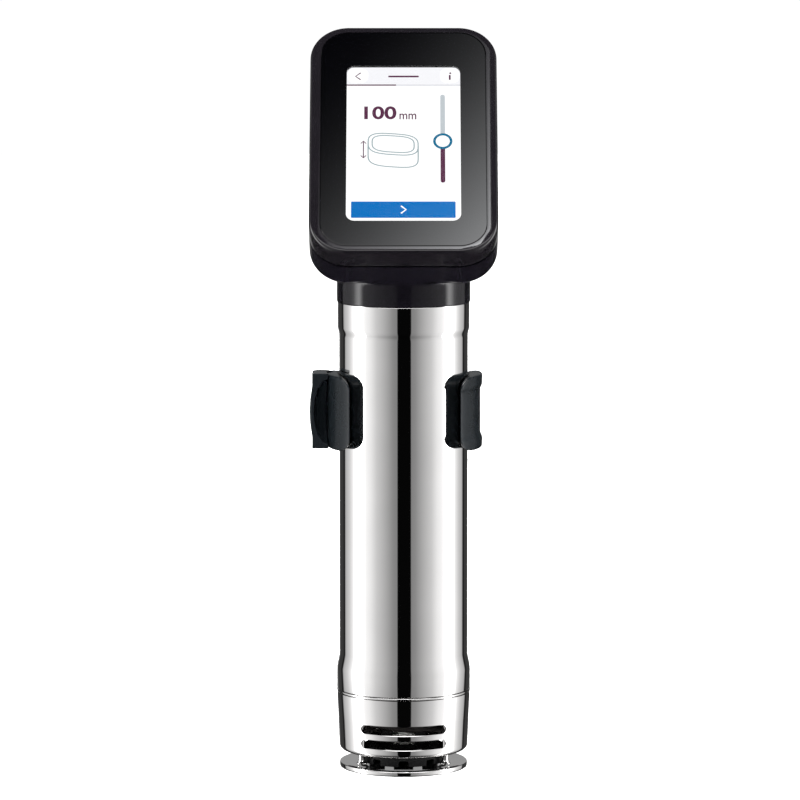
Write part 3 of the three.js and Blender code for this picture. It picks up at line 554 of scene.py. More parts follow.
def glassFinish(name):
    material, tree, shader, coords = principled(name)
    shader.inputs["Transmission Weight"].default_value = 1
    shader.inputs["IOR"].default_value = 1.12
    tint = rampNode(tree, noiseOf(tree, coords, 30), [(0.3, (0.985, 0.99, 1)), (0.7, (1, 1, 1))])
    tree.links.new(tint, shader.inputs["Base Color"])
    haze = mathNode(tree, "MULTIPLY", noiseOf(tree, coords, 25, 5), 0.006)
    tree.links.new(haze, shader.inputs["Roughness"])
    return material


# colour, roughness, grain along each axis, wear and bump
metals = {
    "polished_steel": ((0.93, 0.92, 0.915), 0.015, (60, 60, 900), 0.02),
    "plain_steel": ((0.58, 0.57, 0.56), 0.24, (900, 900, 60), 0.12, 0.1),
    # dark steel for the heater coil, and painted shade on the skirt's inner faces
    "dark_steel": ((0.075, 0.07, 0.068), 0.42, (500, 500, 500), 0.12, 0.1),
    "aluminium": ((0.74, 0.75, 0.76), 0.34, (300, 300, 300), 0.12, 0.15),
    "brass": ((0.72, 0.5, 0.2), 0.24, (900, 60, 900), 0.12, 0.1),
}
# colour, roughness, grain, bump, its depth, cloudiness and specular level
mouldings = {
    "gloss_black": ((0.004, 0.0035, 0.0045), 0.07, 900, 0.02, 0.01, 0.03),
    "satin_black": ((0.003, 0.0026, 0.004), 0.1, 2800, 0.06, 0.01, 0.03, 0.3),
    "clamp_black": ((0.005, 0.0066, 0.008), 0.28, 2200, 0.16, 0.02, 0.08, 0.13),
    "inner_black": ((0.006, 0.006, 0.0065), 0.55, 1800, 0.3, 0.03, 0.08, 0.15),
    "rubber": ((0.012, 0.012, 0.013), 0.72, 1500, 0.5, 0.04, 0.1, 0.3),
    "impeller_white": ((0.72, 0.72, 0.69), 0.42, 1500, 0.15),
    "glass_print": ((0.0004, 0.0004, 0.0006), 0.03, 900, 0, 0, 0.01),
}
# colour and strength of what the display shows
lights = {
    "screen_white": ((1, 1, 1), 1.1),
    "screen_header": ((0.9, 0.9, 0.925), 1.06),
    "screen_line": ((0.6, 0.61, 0.66),),
    "screen_slate": ((0.33, 0.42, 0.44),),
    "screen_grey": ((0.55, 0.6, 0.63),),
    "screen_plum": ((0.105, 0.026, 0.068),),
    "screen_blue": ((0.0, 0.165, 0.54),),
    "screen_teal": ((0.004, 0.16, 0.3),),
}
finishes = {"circuit_board": boardFinish("circuit_board"), "cover_glass": glassFinish("cover_glass")}
for table, mix in ((metals, metalFinish), (mouldings, mouldedFinish), (lights, litFinish)):
    for name, values in table.items():
        finishes[name] = mix(name, *values)
print("finishes are mixed")

# base plate, posts, skirt and seam ring

plateLow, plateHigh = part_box("base_plate")
skirtLow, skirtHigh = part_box("skirt")
ringLow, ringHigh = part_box("seam_ring")
tubeLow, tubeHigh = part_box("steel_tube")

basePlate = {"rim": 0.55, "dish": 0.25, "dishInset": 4.2}
inletGuard = {"wall": 1, "notch": 5, "notches": 9, "notchHeight": 3, "notchRound": 1}
post = {"foot": 2.6, "stem": 1.5, "footHeight": 2.4, "round": 0.35}
skirt = {
    "wall": 0.8, "roll": 2.6, "taper": 1.1, "lip": 0.35, "flangeWidth": 3.6, "flangeHeight": 2.8,
    "flangeDrop": 0.75, "slotHeight": 5, "slotHalf": 21.3, "slotRises": (6.85, 14.2), "slotEdge": 0.35,
    "lugRadius": 3, "rise": 26.85,
}
seam = {"depth": 1.9, "crown": 0.3}


def makeBasePlate():
    radius = plateHigh.x / mm
    top = plateHigh.z / mm
    rim = basePlate["rim"]
    dish = radius - basePlate["dishInset"]
    profile = [(2, 0.3), (dish, 0.3), (dish + 0.3, 0), *arc(radius - rim, rim, rim, -90, 0, 4)]
    profile += [*arc(radius - rim, top - rim, rim, 0, 90, 4), (dish + 0.6, top)]
    profile += [(dish, top - basePlate["dish"] / 2), (6, top - basePlate["dish"]), (2, top - basePlate["dish"])]
    plate = turned("base_disc", profile, 144)
    present(plate, "skirt_unit", "polished_steel", finishes["polished_steel"], "base_plate")


# a low ring round the pump's inlet, notched along its foot and rounded along its top
def makeInletGuard():
    foot, top = spanOf("inlet_guard", "z")
    outer = spanOf("inlet_guard", "x")[1]
    inner, crown = outer - inletGuard["wall"], inletGuard["wall"] / 2
    profile = [(inner, foot), (outer, foot), (outer, top - crown)]
    profile += [*arc(outer - crown, top - crown, crown, 0, 180, 8), (inner, foot)]
    guard = turned("guard_ring", profile, 144)
    half, count = inletGuard["notch"] / 2, inletGuard["notches"]
    notches = []
    for index in range(count):
        lintel = foot + inletGuard["notchHeight"]
        notch = block("notch", (-half, 8, foot - 4), (half, outer + 4, lintel))
        upper = lambda a, b: a.z > foot and b.z > foot and abs(a.x - b.x) < 1e-3
        bevelEdges(notch, upper, inletGuard["notchRound"], 3)
        notches.append(placed(notch, Matrix.Rotation((index + 0.5) * math.tau / count, 4, "Z")))
    combine(guard, "DIFFERENCE", *notches)
    present(guard, "skirt_unit", "inner_black", finishes["inner_black"], "inlet_guard")


def makePosts():
    foot, top = spanOf("base_post_1", "z")
    wide, stem, edge = post["foot"], post["stem"], post["round"]
    profile = [
        (0.4, foot), (wide - 0.2, foot), (wide, foot + 0.2), (wide, foot + 0.6),
        (wide - 0.5, foot + 1.0), (stem + 0.25, foot + 1.8), (stem, foot + post["footHeight"]),
        (stem, top - edge), (stem - edge, top), (0.4, top),
    ]
    first = turned("post_1", profile, 32)
    for number in (2, 3, 1):
        name = f"base_post_{number}"
        lowCorner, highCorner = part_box(name)
        middle = (lowCorner + highCorner) / 2 / mm
        if number > 1:
            twin = copyOf(first, f"post_{number}", (middle.x, middle.y, 0))
        else:
            twin = moved(first, middle.x, middle.y)
        present(twin, "skirt_unit", "polished_steel", finishes["polished_steel"], name)


def makeSkirt():
    bottom, top = skirtLow.z / mm, skirtHigh.z / mm
    radius = skirtHigh.x / mm
    foot = radius - skirt["taper"]
    wall, roll = skirt["wall"], skirt["roll"]
    shelf = top - skirt["flangeDrop"]
    under = shelf - skirt["flangeHeight"]
    inner = radius - wall - skirt["flangeWidth"]
    lip = skirt["lip"]
    profile = arc(foot - roll, bottom + roll, roll, -90, 0, 8)
    profile += [(foot + (radius - foot) * 0.5, (bottom + roll + top) / 2)]
    profile += arc(radius - lip, top - lip, lip, 0, 90, 3)
    profile += [(radius - wall, top), (radius - wall, shelf), (inner, shelf), (inner, under)]
    profile += [(radius - wall, under), (foot - wall, bottom + roll)]
    profile += arc(foot - roll, bottom + roll, roll - wall, 0, -90, 6)
    profile.append(profile[0])
    shell = turned("skirt_shell", profile, 160)
    lugs = []
    for number in (1, 2, 3):
        low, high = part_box(f"base_post_{number}")
        middle = (low + high) / 2 / mm
        reach = skirt["lugRadius"]
        lug = moved(plug("lug", reach, under, shelf, 32), middle.x, middle.y)
        web = block("web", (-reach, -inner - 1, under), (reach, -24, shelf))
        turn = math.atan2(middle.x, -middle.y)
        lugs += [lug, placed(web, Matrix.Rotation(turn, 4, "Z"))]
    combine(shell, "UNION", *lugs)
    half, height = skirt["slotHalf"], skirt["slotHeight"]
    cutters = []
    for rise in skirt["slotRises"]:
        tall = height / 2
        cutter = roundedSlab("slot", (-half, -tall, 0), (half, tall, 40), tall - 0.02, 10)
        stand = Matrix.Rotation(math.pi / 2, 4, "X")
        cutters.append(placed(cutter, Matrix.Translation((0, 0, (bottom + rise) * mm)) @ stand))
    combine(shell, "DIFFERENCE", *cutters)
    present(shell, "skirt_unit", "polished_steel", finishes["polished_steel"], "skirt", angle=28)
    # the inner faces of the skirt shell get the darker, rougher steel: painted shade inside the shell, seen
    # through the slots
    shell.data.materials.append(finishes["dark_steel"])
    for face in shell.data.polygons:
        centre = face.center / mm
        outside = foot + (radius - foot) * (centre.z - bottom) / (top - bottom) - wall * 0.6
        deep = math.hypot(centre.x, centre.y) < outside and centre.z > bottom + roll * 0.6
        inward = face.normal.x * centre.x + face.normal.y * centre.y < 1
        if deep and inward:
            face.material_index = 1


# the slots' pressed rims: a fine bead that follows each slot round the curved wall
def makeSlotRims():
    bottom = skirtLow.z / mm
    rims = []
    for rise in skirt["slotRises"]:
        level = bottom + rise
        clearSelection()
        bpy.ops.mesh.primitive_torus_add(
            major_segments=96, minor_segments=8, major_radius=skirt["slotHeight"] / 2 * mm,
            minor_radius=skirt["slotEdge"] * mm,
        )
        rim = newest("slot_rim")
        stretch = skirt["slotHalf"] - skirt["slotHeight"] / 2
        for side in (1, -1):
            pick(rim, "VERT", lambda p: side * p.x > 1e-4)
            bpy.ops.transform.translate(value=(side * stretch * mm, 0, 0))
            finishEdit()
        only(rim)
        bpy.ops.object.mode_set(mode="EDIT")
        bpy.ops.mesh.select_all(action="SELECT")
        bpy.ops.mesh.bisect(plane_co=(0, 0, 0), plane_no=(1, 0, 0))
        for share in (-0.75, -0.5, -0.25, 0.25, 0.5, 0.75):
            bpy.ops.mesh.select_all(action="SELECT")
            bpy.ops.mesh.bisect(plane_co=(share * stretch * mm, 0, 0), plane_no=(1, 0, 0))
        finishEdit()
        placed(rim, Matrix.Translation((0, 0, level * mm)) @ Matrix.Rotation(math.pi / 2, 4, "X"))
        share = (rise - skirt["roll"]) / skirt["rise"]
        radius = skirtHigh.x / mm - skirt["taper"] + skirt["taper"] * share - skirt["wall"] / 2
        for vertex in rim.data.vertices:
            point = vertex.co / mm
            vertex.co.y += -math.sqrt(radius ** 2 - point.x ** 2) * mm
        rims.append(rim)
    both = joined(*rims)
    both.name = both.data.name = "slot_rims"
    present(both, "skirt_unit", "polished_steel", finishes["polished_steel"])


def makeSeamRing():
    low, high = ringLow.z / mm, ringHigh.z / mm
    radius = ringHigh.x / mm
    crown = seam["crown"]
    profile = [(radius - seam["depth"], low), *arc(radius - crown, low + crown, crown, -90, 0, 3)]
    profile += [*arc(radius - crown, high - crown, crown, 0, 90, 3), (radius - seam["depth"], high)]
    profile.append(profile[0])
    band = turned("seam_band", profile, 160)
    present(band, "housing", "polished_steel", finishes["polished_steel"], "seam_ring")


makeBasePlate()
makeInletGuard()
makePosts()
makeSkirt()
makeSlotRims()
makeSeamRing()
print("base, posts and skirt are made")

# steel tube

tube = {
    "wall": 0.8, "middle": 32, "lowerLand": 9.3, "lowerShoulder": 9, "upperLand": 12.2,
    "upperShoulder": 4.6, "upperRadius": 32.75, "lip": 0.3,
}


def shoulder(fromRadius, toRadius, low, high, steps=10):
    points = []
    for step in range(1, steps):
        share = step / steps
        ease = share * share * (3 - 2 * share)
        points.append((fromRadius + (toRadius - fromRadius) * ease, low + (high - low) * share))
    return points


def makeTube():
    bottom, top = tubeLow.z / mm, tubeHigh.z / mm
    wide = tubeHigh.x / mm
    lip, wall, middle, upper = tube["lip"], tube["wall"], tube["middle"], tube["upperRadius"]
    lowEnd = bottom + tube["lowerLand"]
    highStart = top - tube["upperLand"]
    body = [(wide, lowEnd)]
    body += shoulder(wide, middle, lowEnd, lowEnd + tube["lowerShoulder"])
    body += [(middle, lowEnd + tube["lowerShoulder"]), (middle, (bottom + top) / 2)]
    body += [(middle, highStart - tube["upperShoulder"])]
    body += shoulder(middle, upper, highStart - tube["upperShoulder"], highStart)
    body += [(upper, highStart)]
    inside = [(radius - wall, height) for radius, height in reversed(body)]
    profile = [(wide - wall, bottom), *arc(wide - lip, bottom + lip, lip, -90, 0, 3), *body]
    profile += [*arc(upper - lip, top - lip, lip, 0, 90, 3), (upper - wall, top), *inside]
    profile.append(profile[0])
    pipe = turned("tube_body", profile, 192)
    present(pipe, "housing", "polished_steel", finishes["polished_steel"], "steel_tube")


makeTube()
print("tube is drawn")

# head frame: its origin is the bezel's lower front edge

head = {
    "width": 92.5, "length": 136.5, "depth": 31, "corner": 19, "wall": 2.2, "backEdge": 6,
    "bezelDepth": 12, "sideRim": 5.5, "endRim": 3.9, "glass": 1.3, "seam": 1.2, "gap": 0.3,
    "screwSide": 36.95, "screwEnd": 13,
}
outward = Vector(joints["power_press"]["axis"]).normalized()
faceUp = Vector((0, outward.z, -outward.y))
glassLow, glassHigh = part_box("cover_glass")
headOrigin = Vector((
    0,
    glassLow.y - head["endRim"] * mm * faceUp.y,
    glassLow.z + (head["glass"] * outward.z - head["endRim"] * faceUp.z) * mm,
))
headFrame = Matrix.Translation(headOrigin) @ Matrix((Vector((1, 0, 0)), faceUp, outward)).transposed().to_4x4()
halfWidth = head["width"] / 2
housingFront = -(head["bezelDepth"] + head["seam"])


def onHead(obj, x=0, v=0):
    return placed(obj, headFrame @ Matrix.Translation((x * mm, v * mm, 0)))


def headSlab(name, inset, back, front, corner, segments=16, endInset=None):
    end = inset if endInset is None else endInset
    low = (-halfWidth + inset, end, back)
    high = (halfWidth - inset, head["length"] - end, front)
    return roundedSlab(name, low, high, corner, segments)


# bezel, glass, printed border and display

bezel = {"frontRound": 1.7, "sideRound": 0.5, "ledge": 2.4, "ledgeReach": 3}
glass = {"frontRound": 0.3, "backRound": 0.15}
display = {
    "low": 18.6, "high": 112.2, "half": 28.08, "corner": 4.2, "below": 2.05,
    "panelSide": 30.75, "panelLow": 16.4, "panelHigh": 120.1, "panelDepth": 3.15,
}


def makeBezel():
    frame = headSlab("bezel_frame", 0, -head["bezelDepth"], 0, head["corner"], 20)
    bevelEdges(frame, rimAt(0), bezel["frontRound"], 6)
    bevelEdges(frame, rimAt(-head["bezelDepth"]), bezel["sideRound"], 3)
    side, end, gap = head["sideRim"] - head["gap"], head["endRim"] - head["gap"], head["gap"]
    corner = head["corner"] - side
    floor = -(head["glass"] + gap)
    recess = headSlab("recess", side, floor, 6, corner, 16, end)
    reach = bezel["ledgeReach"] + gap
    window = headSlab("window", side + reach, -20, 6, corner - reach, 16, end + reach)
    wall = head["wall"]
    hollow = headSlab("hollow", wall, -20, floor - bezel["ledge"], head["corner"] - wall, 16)
    combine(frame, "DIFFERENCE", recess, window, hollow)
    bosses = []
    for number in (1, 2, 3, 4):
        top = floor - bezel["ledge"] + 0.5
        boss = sleeve("boss", 1.8, 4, -head["bezelDepth"], top, 24)
        bosses.append(moved(boss, *screwCentre(number)))
    combine(frame, "UNION", *bosses)
    onHead(frame)
    present(frame, "housing", "gloss_black", finishes["gloss_black"], "bezel", angle=30)


def screwCentre(number):
    x = head["screwSide"] if number in (2, 4) else -head["screwSide"]
    return x, (head["screwEnd"] if number < 3 else head["length"] - head["screwEnd"])


# the cover glass: printed black and glossy round a clear window, flush with one another
def makeGlass():
    rim, end, deep = head["sideRim"], head["endRim"], head["glass"]
    half, corner = display["half"], display["corner"]
    border = headSlab("glass_border", rim, -deep, 0, head["corner"] - rim, 20, end)
    bevelEdges(border, rimAt(0), glass["frontRound"], 3)
    bevelEdges(border, rimAt(-deep), glass["backRound"], 1)
    low, high = display["low"], display["high"]
    opening = roundedSlab("opening", (-half, low, -6), (half, high, 2), corner, 10)
    combine(border, "DIFFERENCE", opening)
    onHead(border)
    present(border, "housing", "cover_glass", finishes["glass_print"], "cover_glass", angle=12)
    window = roundedSlab("glass_window", (-half, low, -deep), (half, high, 0), corner, 10)
    onHead(window)
    present(window, "housing", "cover_glass", finishes["cover_glass"])


def makeDisplay():
    side, level = display["panelSide"], -display["below"]
    back = level - display["panelDepth"]
    low, high = display["panelLow"], display["panelHigh"]
    panel = roundedSlab("display_body", (-side, low, back), (side, high, level - 0.05), 1.2, 4)
    bevelEdges(panel, rimAt(level - 0.05), 0.3, 2)
    onHead(panel)
    present(panel, "housing", "screen", finishes["inner_black"], "display_panel")


makeBezel()
makeGlass()
makeDisplay()
print("bezel and glass are made")

# what the display shows: a thickness setting with numerals and plain signs

screenLayer = {"base": 0.0, "header": 0.04, "mark": 0.09, "knob": 0.14}
screen = {
    "headerFoot": 102.1,
    "digits": {"left": -19.4, "foot": 80.7, "width": 15.9, "height": 7.9, "weight": 0.026},
    "unit": {"left": -2, "foot": 80.7, "width": 8.3, "height": 3.5, "weight": 0.008},
    "slider": {
        "x": 19.3, "low": 42.5, "high": 95.7, "knob": 67.4, "half": 1.15, "knobRadius": 4.75, "ring": 1.3,
    },
    "button": {"left": -25.6, "right": 25.4, "low": 21.5, "high": 31.2},
    "slab": {
        "x": -5.1, "y": 65.6, "width": 24.6, "depth": 12.6, "drop": 7.4,
        "squareness": 0.62, "lean": 0.16, "steps": 48, "line": 0.6,
    },
    "arrow": {"x": -19.7, "low": 57.3, "high": 67.5, "barb": 1.3, "line": 0.5},
}


def tile(name, left, low, right, high, layer, corner=0.4):
    level = -display["below"] + layer
    return roundedSlab(name, (left, low, level), (right, high, level + 0.03), corner, 8)


def strokeLine(name, points, width, layer, closed=False):
    clearSelection()
    start = (points[0][0] * mm, points[0][1] * mm, 0)
    bpy.ops.mesh.primitive_plane_add(size=0.002 * mm, location=start)
    line = newest(name)
    bpy.ops.object.mode_set(mode="EDIT")
    bpy.ops.mesh.select_mode(type="VERT")
    bpy.ops.mesh.select_all(action="SELECT")
    bpy.ops.mesh.merge(type="CENTER")
    path = list(points) + ([points[0]] if closed else [])
    for (ax, ay), (bx, by) in zip(path, path[1:]):
        step = ((bx - ax) * mm, (by - ay) * mm, 0)
        bpy.ops.mesh.extrude_vertices_move(TRANSFORM_OT_translate={"value": step})
    if closed:
        bpy.ops.mesh.select_all(action="SELECT")
        bpy.ops.mesh.remove_doubles(threshold=1e-5 * mm)
    finishEdit()
    bpy.ops.object.convert(target="CURVE")
    line = bpy.context.active_object
    line.data.bevel_depth = width / 2 * mm
    line.data.bevel_resolution = 2
    line.data.use_fill_caps = True
    bpy.ops.object.convert(target="MESH")
    line = bpy.context.active_object
    line.name = line.data.name = name
    flat = Matrix.Diagonal((1, 1, 0.12, 1))
    level = -display["below"] + layer + 0.03
    return placed(line, Matrix.Translation((0, 0, level * mm)) @ flat)


def numerals(name, words, layer, left, foot, width, height, weight):
    clearSelection()
    bpy.ops.object.text_add()
    text = bpy.context.active_object
    text.data.body = words
    text.data.extrude = 0.015
    text.data.offset = weight
    bpy.ops.object.convert(target="MESH")
    text = bpy.context.active_object
    text.name = text.data.name = name
    corners = [vertex.co for vertex in text.data.vertices]
    low = Vector([min(co[i] for co in corners) for i in range(3)])
    high = Vector([max(co[i] for co in corners) for i in range(3)])
    across = width * mm / (high.x - low.x)
    tall = height * mm / (high.y - low.y)
    level = -display["below"] + layer
    move = Matrix.Translation((left * mm, foot * mm, level * mm))
    return placed(text, move @ Matrix.Diagonal((across, tall, 0.9 * mm, 1)) @ Matrix.Translation(-low))


def ringOf(name, x, y, radius, width, layer, segments=64):
    level = -display["below"] + layer
    return moved(sleeve(name, radius - width, radius, level, level + 0.03, segments), x, y)


def slabOutline(shiftY=0):
    slab = screen["slab"]
    steps, squareness = slab["steps"], slab["squareness"]
    points = []
    for step in range(steps):
        angle = 2 * math.pi * step / steps
        x = math.copysign(abs(math.cos(angle)) ** squareness, math.cos(angle))
        y = math.copysign(abs(math.sin(angle)) ** squareness, math.sin(angle))
        leaning = y - slab["lean"] * x
        along = slab["x"] + x * slab["width"] / 2
        points.append((along, slab["y"] + leaning * slab["depth"] / 2 + shiftY))
    return points


def showOnScreen(name, finish, *parts):
    whole = joined(*parts) if len(parts) > 1 else parts[0]
    whole.name = whole.data.name = name
    onHead(whole)
    present(whole, "housing", "screen", finishes[finish])


def makeScreenPicture():
    half, mark, knobLayer = display["half"], screenLayer["mark"], screenLayer["knob"]
    low, high = display["low"], display["high"]
    side, layer = half + 0.3, screenLayer["base"]
    base = tile("base", -side, low - 0.3, side, high + 0.3, layer, display["corner"])
    showOnScreen("screen_base", "screen_white", base)
    foot = screen["headerFoot"]
    side, layer = half + 0.2, screenLayer["header"]
    header = tile("header", -side, foot, side, high + 0.2, layer, 0.3)
    showOnScreen("screen_header", "screen_header", header)
    tabs = [
        tile("tab", -half + 0.3, foot + 0.9, -half + 10.6, high - 0.3, mark - 0.01, 3.6),
        tile("tab", half - 10.0, foot + 0.9, half - 0.3, high - 0.3, mark - 0.01, 3.6),
    ]
    showOnScreen("screen_tabs", "screen_white", *tabs)
    rule = tile("line", -half, foot - 0.75, half, foot - 0.2, mark - 0.02, 0.1)
    showOnScreen("screen_rule", "screen_line", rule)
    slider = screen["slider"]
    left, right = slider["x"] - slider["half"], slider["x"] + slider["half"]
    track = tile("track", left, slider["knob"], right, slider["high"], mark, 1.1)
    showOnScreen("slider_track", "screen_grey", track)
    chevron = [(-half + 6.8, foot + 7.0), (-half + 4.3, foot + 4.9), (-half + 6.8, foot + 2.8)]
    plum = [
        tile("fill", left, slider["low"], right, slider["knob"], mark, 1.1),
        tile("progress", -half, foot - 0.85, -3.7, foot - 0.1, mark, 0.1),
        numerals("digits", "100", mark, **screen["digits"]),
        numerals("unit", "mm", mark, **screen["unit"]),
        strokeLine("back", chevron, 0.62, mark),
        tile("stem", half - 5.6, foot + 2.7, half - 4.7, foot + 5.7, mark + 0.02, 0.2),
        tile("dot", half - 5.4, foot + 6.3, half - 4.4, foot + 7.3, mark + 0.02, 0.45),
        tile("heading", -7.6, foot + 4.3, 7.6, foot + 5.3, mark, 0.45),
    ]
    showOnScreen("screen_plum_marks", "screen_plum", *plum)
    slab = screen["slab"]
    top = slabOutline()
    lower = slabOutline(-slab["drop"])
    middleX, middleY = slab["x"], slab["y"]
    inner = [
        (middleX + (x - middleX) * 0.84, middleY + 0.5 + (y - middleY - 0.5) * 0.78) for x, y in top
    ]
    leftX = min(x for x, y in top)
    rightX = max(x for x, y in top)
    leftY = [y for x, y in top if x == leftX][0]
    rightY = [y for x, y in top if x == rightX][0]
    frontHalf = lower[slab["steps"] // 2:] + lower[:1]
    width = slab["line"]
    outline = [
        strokeLine("top", top, width, mark, True), strokeLine("inner", inner, width, mark, True),
        strokeLine("below", frontHalf, width, mark),
        strokeLine("left", [(leftX, leftY), (leftX, leftY - slab["drop"])], width, mark),
        strokeLine("right", [(rightX, rightY), (rightX, rightY - slab["drop"])], width, mark),
    ]
    showOnScreen("slab_outline", "screen_slate", *outline)
    x, tail, tip, barb, width = (screen["arrow"][key] for key in ("x", "low", "high", "barb", "line"))
    barbs = [
        [(x - barb, end - back), (x, end), (x + barb, end - back)] for end, back in ((tip, 1.5), (tail, -1.5))
    ]
    arrow = [
        strokeLine("shaft", [(x, tail + 0.4), (x, tip - 0.4)], width, mark),
        strokeLine("up", barbs[0], width, mark), strokeLine("down", barbs[1], width, mark),
    ]
    showOnScreen("height_arrow", "screen_plum", *arrow)
    button = screen["button"]
    face = tile("button", button["left"], button["low"], button["right"], button["high"], mark, 0.5)
    showOnScreen("screen_button", "screen_blue", face)
    middle = (button["low"] + button["high"]) / 2
    corners = [(-1.2, middle + 2.2), (1.2, middle), (-1.2, middle - 2.2)]
    following = strokeLine("following", corners, 0.8, knobLayer)
    showOnScreen("button_chevron", "screen_white", following)
    x, y, radius = slider["x"], slider["knob"], slider["knobRadius"]
    level = -display["below"] + knobLayer
    disc = moved(plug("disc", radius - 0.5, level - 0.02, level + 0.01, 64, 0.3), x, y)
    showOnScreen("slider_knob", "screen_white", disc)
    knobRing = ringOf("ring", x, y, radius, slider["ring"], knobLayer)
    showOnScreen("slider_ring", "screen_teal", knobRing)


makeScreenPicture()
print("display is lit")

# rear housing with the neck

housing = {
    "voxel": 1.0, "ease": 8, "neckRadius": 33.15, "neckGap": 0.3, "spigot": 11, "spigotRadius": 31.65,
    "bossRadius": 4, "counterbore": 3.4, "counterboreDepth": 3.2, "buttonFromTop": 22, "buttonHole": 6.3,
    "ventRise": 42, "ventWidth": 28, "ventHeight": 26, "glandRise": 25, "glandHole": 6.7,
    "neckReach": 115,
}
neckBottom = tubeHigh.z / mm + housing["neckGap"]


def trimmed(obj, point, normal, side):
    only(obj)
    bpy.ops.object.mode_set(mode="EDIT")
    bpy.ops.mesh.select_all(action="SELECT")
    bpy.ops.mesh.bisect(
        plane_co=point, plane_no=normal, use_fill=True,
        clear_outer=side == "outer", clear_inner=side == "inner",
    )
    finishEdit()
    return obj


def headPoint(x, v, n):
    return headFrame @ Vector((x * mm, v * mm, n * mm))


def neckSolid(name, radius, bottom, frontLevel):
    neck = plug(name, radius, bottom, bottom + housing["neckReach"], 128)
    trimmed(neck, headPoint(0, 0, frontLevel), outward, "outer")
    return trimmed(neck, headPoint(0, head["length"] - 4, 0), faceUp, "outer")


def facingRear(name, halfX, low, high, yLow, yHigh, corner):
    cutter = roundedSlab(name, (-halfX, low, -yHigh), (halfX, high, -yLow), corner, 6)
    return placed(cutter, Matrix.Rotation(math.pi / 2, 4, "X"))


def makeHousing():
    depth = head["depth"]
    shell = headSlab("rear_shell", 0, -depth, housingFront + 9, head["corner"], 16)
    bevelEdges(shell, rimAt(-depth), head["backEdge"], 8)
    onHead(shell)
    combine(shell, "UNION", neckSolid("neck", housing["neckRadius"], neckBottom - 8, housingFront - 1))
    soften(shell, housing["voxel"], housing["ease"])
    trimmed(shell, headPoint(0, 0, housingFront), outward, "outer")
    trimmed(shell, Vector((0, 0, neckBottom * mm)), (0, 0, 1), "inner")
    wall = head["wall"]
    hollow = headSlab("hollow", wall, -depth + wall, housingFront + 9, head["corner"] - wall, 12)
    bevelEdges(hollow, rimAt(-depth + wall), head["backEdge"] - wall, 4)
    onHead(hollow)
    bore = neckSolid("bore", housing["neckRadius"] - wall, neckBottom - 3, housingFront - 2)
    combine(shell, "DIFFERENCE", hollow, bore)
    radius, bottom = housing["spigotRadius"], neckBottom - housing["spigot"]
    inner = radius - wall
    spigot = turned("spigot", [
        (inner, bottom), (radius - 0.6, bottom), (radius, bottom + 0.6), (radius, neckBottom + 1.7),
        (inner, neckBottom + 1.7), (inner, bottom),
    ], 96)
    bosses = []
    for number in (1, 2, 3, 4):
        boss = plug("boss", housing["bossRadius"], -depth + 1, housingFront, 24)
        bosses.append(onHead(boss, *screwCentre(number)))
    combine(shell, "UNION", spigot, *bosses)
    cutters = []
    wide, deep = housing["counterbore"], -depth + housing["counterboreDepth"]
    for number in (1, 2, 3, 4):
        profile = [(0.5, -depth - 5), (wide, -depth - 5), (wide, deep), (1.8, deep), (1.8, 5), (0.5, 5)]
        cutters.append(onHead(turned("hole", profile, 32), *screwCentre(number)))
    hole = plug("button_hole", housing["buttonHole"], -depth - 5, -depth + 4, 48)
    cutters.append(onHead(hole, 0, head["length"] - housing["buttonFromTop"]))
    vent, half = neckBottom + housing["ventRise"], housing["ventWidth"] / 2
    cutters.append(facingRear("vent_hole", half, vent, vent + housing["ventHeight"], 15, 45, 1.5))
    gland = plug("gland_hole", housing["glandHole"], 15, 45, 48)
    cutters.append(alongY(gland, neckBottom + housing["glandRise"]))
    combine(shell, "DIFFERENCE", *cutters)
    present(shell, "housing", "satin_black", finishes["satin_black"], "rear_housing", angle=40)


headSeal = {"inset": 1.0, "width": 2.4}


def makeHeadSeal():
    inset, gap = headSeal["inset"], head["gap"]
    back, front = housingFront + gap, -head["bezelDepth"] - gap
    seal = headSlab("seal_strip", inset, back, front, head["corner"] - inset, 16)
    inside = inset + headSeal["width"]
    inner = headSlab("seal_hole", inside, back - 3, front + 3, head["corner"] - inside, 16)
    combine(seal, "DIFFERENCE", inner)
    onHead(seal)
    present(seal, "housing", "rubber", finishes["rubber"], "head_seal")


screwShape = {"headRadius": 2.9, "stem": 1.5, "headHeight": 1.9, "recess": 0.85, "recessLength": 3.7}


def makeHeadScrews():
    outer = -head["depth"] + 1
    tip = -(head["glass"] + head["gap"] + 2.4 + 1.6)
    radius, stem, height = (screwShape[key] for key in ("headRadius", "stem", "headHeight"))
    screw = turned("screw_1", [
        (0.4, outer), (radius - 0.5, outer), (radius, outer + 0.5), (radius, outer + height),
        (stem, outer + height), (stem, tip - 0.4), (stem - 0.4, tip), (0.4, tip),
    ], 40)
    half, length = screwShape["recess"] / 2, screwShape["recessLength"] / 2
    bars = [
        block("bar", (-half, -length, outer - 1), (half, length, outer + 1.1)),
        block("bar", (-length, -half, outer - 1), (length, half, outer + 1.1)),
    ]
    combine(screw, "DIFFERENCE", *bars)
    for number in (4, 3, 2, 1):
        twin = copyOf(screw, f"screw_{number}") if number > 1 else screw
        onHead(twin, *screwCentre(number))
        present(twin, "housing", "plain_steel", finishes["plain_steel"], f"head_screw_{number}")


buttonShape = {
    "radius": 6, "flange": 7.8, "proud": 0.9, "dish": 0.35, "foot": 3, "sign": 2.3, "line": 0.45,
}


